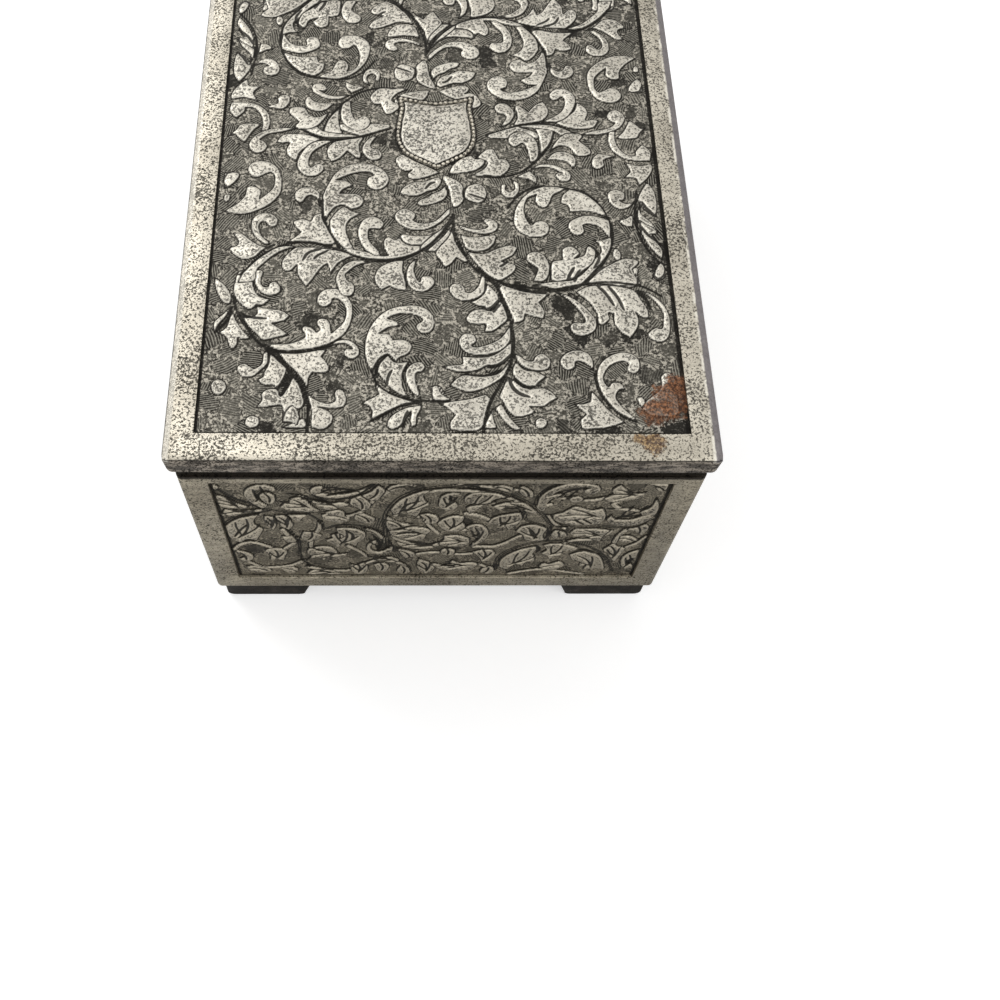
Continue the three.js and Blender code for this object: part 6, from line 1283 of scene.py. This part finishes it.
def bead_tree(name, sizes, material):
    """Nodes that set beads along a line; gives the tree and the identifiers of its inputs."""
    tree = bpy.data.node_groups.new(name, "GeometryNodeTree")
    tree.interface.new_socket("Geometry", in_out="INPUT", socket_type="NodeSocketGeometry")
    inputs = {
        label: tree.interface.new_socket(label, in_out="INPUT", socket_type="NodeSocketFloat").identifier
        for label in sizes
    }
    tree.interface.new_socket("Geometry", in_out="OUTPUT", socket_type="NodeSocketGeometry")
    kinds = (
        "NodeGroupInput",
        "NodeGroupOutput",
        "GeometryNodeMeshToCurve",
        "GeometryNodeResampleCurve",
        "GeometryNodeMeshUVSphere",
        "GeometryNodeInputTangent",
        "FunctionNodeAlignRotationToVector",
        "ShaderNodeMath",
        "ShaderNodeCombineXYZ",
        "GeometryNodeInstanceOnPoints",
        "GeometryNodeRealizeInstances",
        "GeometryNodeSetShadeSmooth",
        "GeometryNodeSetMaterial",
    )
    made = [tree.nodes.new(kind) for kind in kinds]
    given, done, curve, spaced, ball, along, turn, length, size, placed, real, smooth, coat = made
    spaced.mode = "LENGTH"
    ball.inputs["Segments"].default_value = 8
    ball.inputs["Rings"].default_value = 6
    ball.inputs["Radius"].default_value = 1.0
    turn.axis = "X"
    length.operation = "MULTIPLY"
    coat.inputs["Material"].default_value = material
    for source, out, target, into in (
        (given, "Geometry", curve, "Mesh"),
        (curve, "Curve", spaced, "Curve"),
        (given, "Spacing", spaced, "Length"),
        (given, "Radius", length, 0),
        (given, "Stretch", length, 1),
        (length, 0, size, "X"),
        (given, "Radius", size, "Y"),
        (given, "Radius", size, "Z"),
        (along, "Tangent", turn, "Vector"),
        (spaced, "Curve", placed, "Points"),
        (ball, "Mesh", placed, "Instance"),
        (turn, "Rotation", placed, "Rotation"),
        (size, "Vector", placed, "Scale"),
        (placed, "Instances", real, "Geometry"),
        (real, "Geometry", smooth, "Geometry"),
        (smooth, "Geometry", coat, "Geometry"),
        (coat, "Geometry", done, "Geometry"),
    ):
        tree.links.new(source.outputs[out], target.inputs[into])
    return tree, inputs


def beaded(name, ring, sizes, body, material):
    """Beads along a closed ring of places; sizes holds their spacing, radius and stretch."""
    tree, inputs = bead_tree(name, sizes, material)
    count = len(ring)
    mesh = bpy.data.meshes.new(name + "_line")
    mesh.from_pydata((np.array(ring) * MM).tolist(), [(i, (i + 1) % count) for i in range(count)], [])
    line = bpy.data.objects.new(name + "_line", mesh)
    scene.collection.objects.link(line)
    beads = line.modifiers.new("beads", "NODES")
    beads.node_group = tree
    for label, value in sizes.items():
        beads[inputs[label]] = value
    made = bpy.data.meshes.new_from_object(line.evaluated_get(bpy.context.evaluated_depsgraph_get()))
    line.modifiers.remove(beads)
    bpy.data.objects.remove(line)
    piece = bpy.data.objects.new(name, made)
    made.name = name
    scene.collection.objects.link(piece)
    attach(piece, body)


rim_line = [(x, y, BEAD_LEVEL) for x, y in shield_outline(-RIM_INSET)]
bead_sizes = {"Spacing": BEAD_SPACING * MM, "Radius": BEAD_RADIUS * MM, "Stretch": BEAD_STRETCH}
beaded("shield_beads", rim_line, bead_sizes, "lid", bead_silver)


# The castings, their hinge and their feet
FRONT_ROUNDING_KEPT = 0.3
LONG_EDGE_SLOPE = 0.5
SHIELD_LEVEL = 44.3


def shape_lid(shape):
    """A crisp front edge, sloped long edges, and the shield set under the relief that carries it."""
    for corner in shape.verts:
        x, y, z = corner.co / MM
        if y < LID_FRONT + 0.6 and z > LID_TOP - 0.55:
            y = LID_FRONT + (y - LID_FRONT) * FRONT_ROUNDING_KEPT
            z = LID_TOP - (LID_TOP - z) * FRONT_ROUNDING_KEPT
        if abs(x) > LID_FLAT_HALF and z > LID_TOP - 0.01:
            x = math.copysign(LID_FLAT_HALF, x)
        elif abs(x) > LID_FLAT_HALF and z > LID_TOP - 0.8:
            z = min(z, LID_TOP - (abs(x) - LID_FLAT_HALF) * LONG_EDGE_SLOPE)
        if abs(x) < 7 and abs(y - MIDDLE[1]) < 8 and z > SHIELD_LEVEL + 0.06:
            z = SHIELD_LEVEL
        corner.co = np.array((x, y, z)) * MM


softened("box_body", "case_casting", "case", silver, 0.16)
softened("lid_shell", "lid_casting", "lid", lid_silver, 0.08, shape_lid)
softened("body_hinge_knuckles", "case_hinge", "case", hinge_metal, 0.10)
softened("lid_hinge_knuckles", "lid_hinge", "lid", hinge_metal, 0.10)
for corner in ("front_left", "front_right", "rear_right", "rear_left"):
    softened("foot_" + corner, "foot_casting_" + corner, "case", foot_metal, 0.20)


# Velvet linings: quilted pads and the tray's padded walls
PAD_STEP = 0.7
SEAM_SPACING, SEAM_WIDTH = 11.0, 0.55
SEAM_DEPTH, TUFT_DEPTH = 0.34, 0.24
ROUNDED_EDGE = 2.2


def quilted_pad(name, low, high, back, front, body):
    """A pad between two levels, crowned from its edges and drawn in along crossing seams."""
    counts = [round((b - a) / PAD_STEP) for a, b in zip(low, high)]
    u, v = np.meshgrid(*(np.linspace(a, b, count) for a, b, count in zip(low, high, counts)))
    rim = np.minimum.reduce([u - low[0], high[0] - u, v - low[1], high[1] - v])
    crown = 0.45 + 0.55 * np.sqrt(1 - (1 - np.clip(rim / ROUNDED_EDGE, 0, 1)) ** 2)
    seams = [np.abs((cross / SEAM_SPACING + 0.5) % 1 - 0.5) * SEAM_SPACING for cross in (u + v, u - v)]
    drawn = np.clip(sum(np.exp(-((seam / SEAM_WIDTH) ** 2)) for seam in seams), 0, 1)
    tuft = np.exp(-(seams[0] ** 2 + seams[1] ** 2) / 3.0)
    crush = 0.04 * np.sin(0.9 * u + 1.3 * np.sin(0.4 * v)) * np.sin(0.7 * v + np.sin(0.5 * u))
    share = np.clip(crown * (1 - SEAM_DEPTH * drawn - TUFT_DEPTH * tuft) - 0.06 + crush, 0.05, 1)
    level = back + (front - back) * share
    face = np.stack([u, v, level], -1).reshape(-1, 3)
    rear = np.stack([u, v, np.full_like(u, back)], -1).reshape(-1, 3)
    quads, ring = grid_faces(*u.shape)
    after = np.roll(ring, -1)
    sides = np.stack([ring, ring + u.size, after + u.size, after], -1)
    faces = quads.tolist() + (quads[:, ::-1] + u.size).tolist() + sides.tolist()
    if front < back:
        faces = [quad[::-1] for quad in faces]
    pad = mesh_piece(name, np.vstack([face, rear]), faces, velvet)
    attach(pad, body)
    return pad


CORNER_STEPS, SIDE_PARTS = 7, 24
WALL_CORNER = 1.6


def rounded_loop(centre, half, radius, level):
    """A rectangle with round corners; the straight sides are divided too."""
    spots = []
    for x, y, start in ((1, 1, 0), (-1, 1, 90), (-1, -1, 180), (1, -1, 270)):
        middle = (centre[0] + x * (half[0] - radius), centre[1] + y * (half[1] - radius))
        for step in range(CORNER_STEPS):
            turn = math.radians(start + step * 90 / (CORNER_STEPS - 1))
            spots.append((middle[0] + radius * math.cos(turn), middle[1] + radius * math.sin(turn)))
    divided = []
    for (x0, y0), (x1, y1) in zip(spots, spots[1:] + spots[:1]):
        parts = SIDE_PARTS if math.hypot(x1 - x0, y1 - y0) > 5 else 1
        divided += [(x0 + (x1 - x0) * s / parts, y0 + (y1 - y0) * s / parts, level) for s in range(parts)]
    return np.array(divided)


def padded_walls(name, low, high, floor, top):
    """A band of padding round the tray, rolled over at its top edge."""
    centre = [(a + b) / 2 for a, b in zip(low, high)]
    half = [(b - a) / 2 for a, b in zip(low, high)]
    outside = [(0.0, 0), (0.0, 0.5), (0.0, 0.985)]
    roll = [(0.25, 0.997), (0.6, 1.0), (0.95, 0.995), (1.15, 0.98), (1.24, 0.94)]
    inside = [(1.18, 0.75), (1.10, 0.55), (1.14, 0.35), (1.22, 0.15), (1.18, 0.05), (1.0, 0.0)]
    loops = []
    for inset, share in outside + roll + inside:
        size = [part - inset for part in half]
        loop = rounded_loop(centre, size, max(0.5, WALL_CORNER - inset), floor + (top - floor) * share)
        if inset > 1:
            ripple = 0.05 * np.sin(loop[:, 0] * 0.55 + share * 9) * np.sin(loop[:, 1] * 0.5 + share * 5)
            loop[:, :2] += (loop[:, :2] - centre) / 30 * ripple[:, None]
        loops.append(loop)
    size = len(loops[0])
    faces = []
    for row in range(len(loops)):
        after = (row + 1) % len(loops)
        for spot in range(size):
            beside = (spot + 1) % size
            faces.append((row * size + spot, row * size + beside, after * size + beside, after * size + spot))
    walls = mesh_piece(name, np.vstack(loops), faces, velvet)
    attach(walls, "case")
    return walls


tray = [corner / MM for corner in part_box("tray_lining")]
walls = padded_walls("tray_wall_pads", tray[0].xy, tray[1].xy, tray[0].z + 0.05, tray[1].z - 0.02)
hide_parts("tray_lining")
inner = (tray[0].x + 1.3, tray[0].y + 1.3), (tray[1].x - 1.3, tray[1].y - 1.3)
quilted_pad("tray_floor_pad", *inner, tray[0].z + 0.05, tray[0].z + 1.65, "case")
cover = [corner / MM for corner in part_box("lid_lining")]
lid_pad = quilted_pad("lid_pad", cover[0].xy, cover[1].xy, cover[1].z, cover[0].z, "lid")
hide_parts("lid_lining")


# Finishes of the model's own pieces; the rest are steel
FINISHES = {
    base_metal: ["base_plate"],
    stained_board: ["partition"],
    zinc: ["bedplate", "comb_base", "governor_cock", "stop_guide"]
    + ["cylinder_bracket_left", "cylinder_bracket_right"],
    brass: ["spring_barrel", "barrel_cover", "music_cylinder", "cylinder_wheel", "worm_wheel", "fan"],
    comb_steel: ["music_comb"],
    blued: ["mainspring"],
}
finish_of = {name: finish for finish, names in FINISHES.items() for name in names}
for name, node in nodes.items():
    plain = screw_steel if "screw" in name else steel
    node.data.materials.clear()
    node.data.materials.append(finish_of.get(name, plain))


# Pale floor, soft lamps and a white surround
FLOOR_HALF = 1500


def set_floor():
    """A wide pale sheet under the feet, a little brighter to the camera than its light makes it."""
    low = model_box[0].z / MM
    corners = [(x * FLOOR_HALF, y * FLOOR_HALF, low) for x, y in ((-1, -1), (1, -1), (1, 1), (-1, 1))]
    board = Board("pale_floor")
    grain = board.noise(board.place(), 0.05, 3)
    tone = board.blend(grain, (0.84, 0.84, 0.84), (0.88, 0.88, 0.88))
    seen = board.add("ShaderNodeLightPath")
    glow = board.blend(seen, (0, 0, 0), (0.52, 0.52, 0.52))
    paper = board.finish(Base_Color=tone, Roughness=0.9, Emission_Color=glow, Emission_Strength=1)
    floor = mesh_piece("floor", corners, [(0, 1, 2, 3)], paper, False)


def set_lamp(name, place, power, size):
    """A square lamp that faces the box."""
    light = bpy.data.lights.new(name, "AREA")
    light.energy = power
    light.size = size
    lamp = bpy.data.objects.new(name, light)
    lamp.location = place
    lamp.rotation_euler = (-Vector(place)).to_track_quat("-Z", "Y").to_euler()
    scene.collection.objects.link(lamp)


def set_surround():
    """White to the camera and to reflections, softer on the floor and the box."""
    board = Board("surround", "worlds")
    camera, glossy, through = (
        board.add("ShaderNodeLightPath", out=f"Is {ray} Ray") for ray in ("Camera", "Glossy", "Transmission")
    )
    clamped = {"operation": "ADD", "use_clamp": True}
    seen = board.add("ShaderNodeMath", clamped, {0: camera + glossy, 1: through})
    level = board.add("ShaderNodeMapRange", {}, {"Value": seen, "To Min": 0.55, "To Max": 1.0})
    sky = board.add("ShaderNodeBackground", {}, {"Color": (1, 1, 1, 1), "Strength": level})
    board.add("ShaderNodeOutputWorld", {}, {0: sky})
    scene.world = board.owner


set_floor()
set_lamp("left_lamp", (-0.30, 0.30, 0.42), 1.2, 0.35)
set_lamp("right_lamp", (0.45, -0.20, 0.30), 0.6, 0.35)
set_surround()
scene.view_settings.view_transform = "Standard"
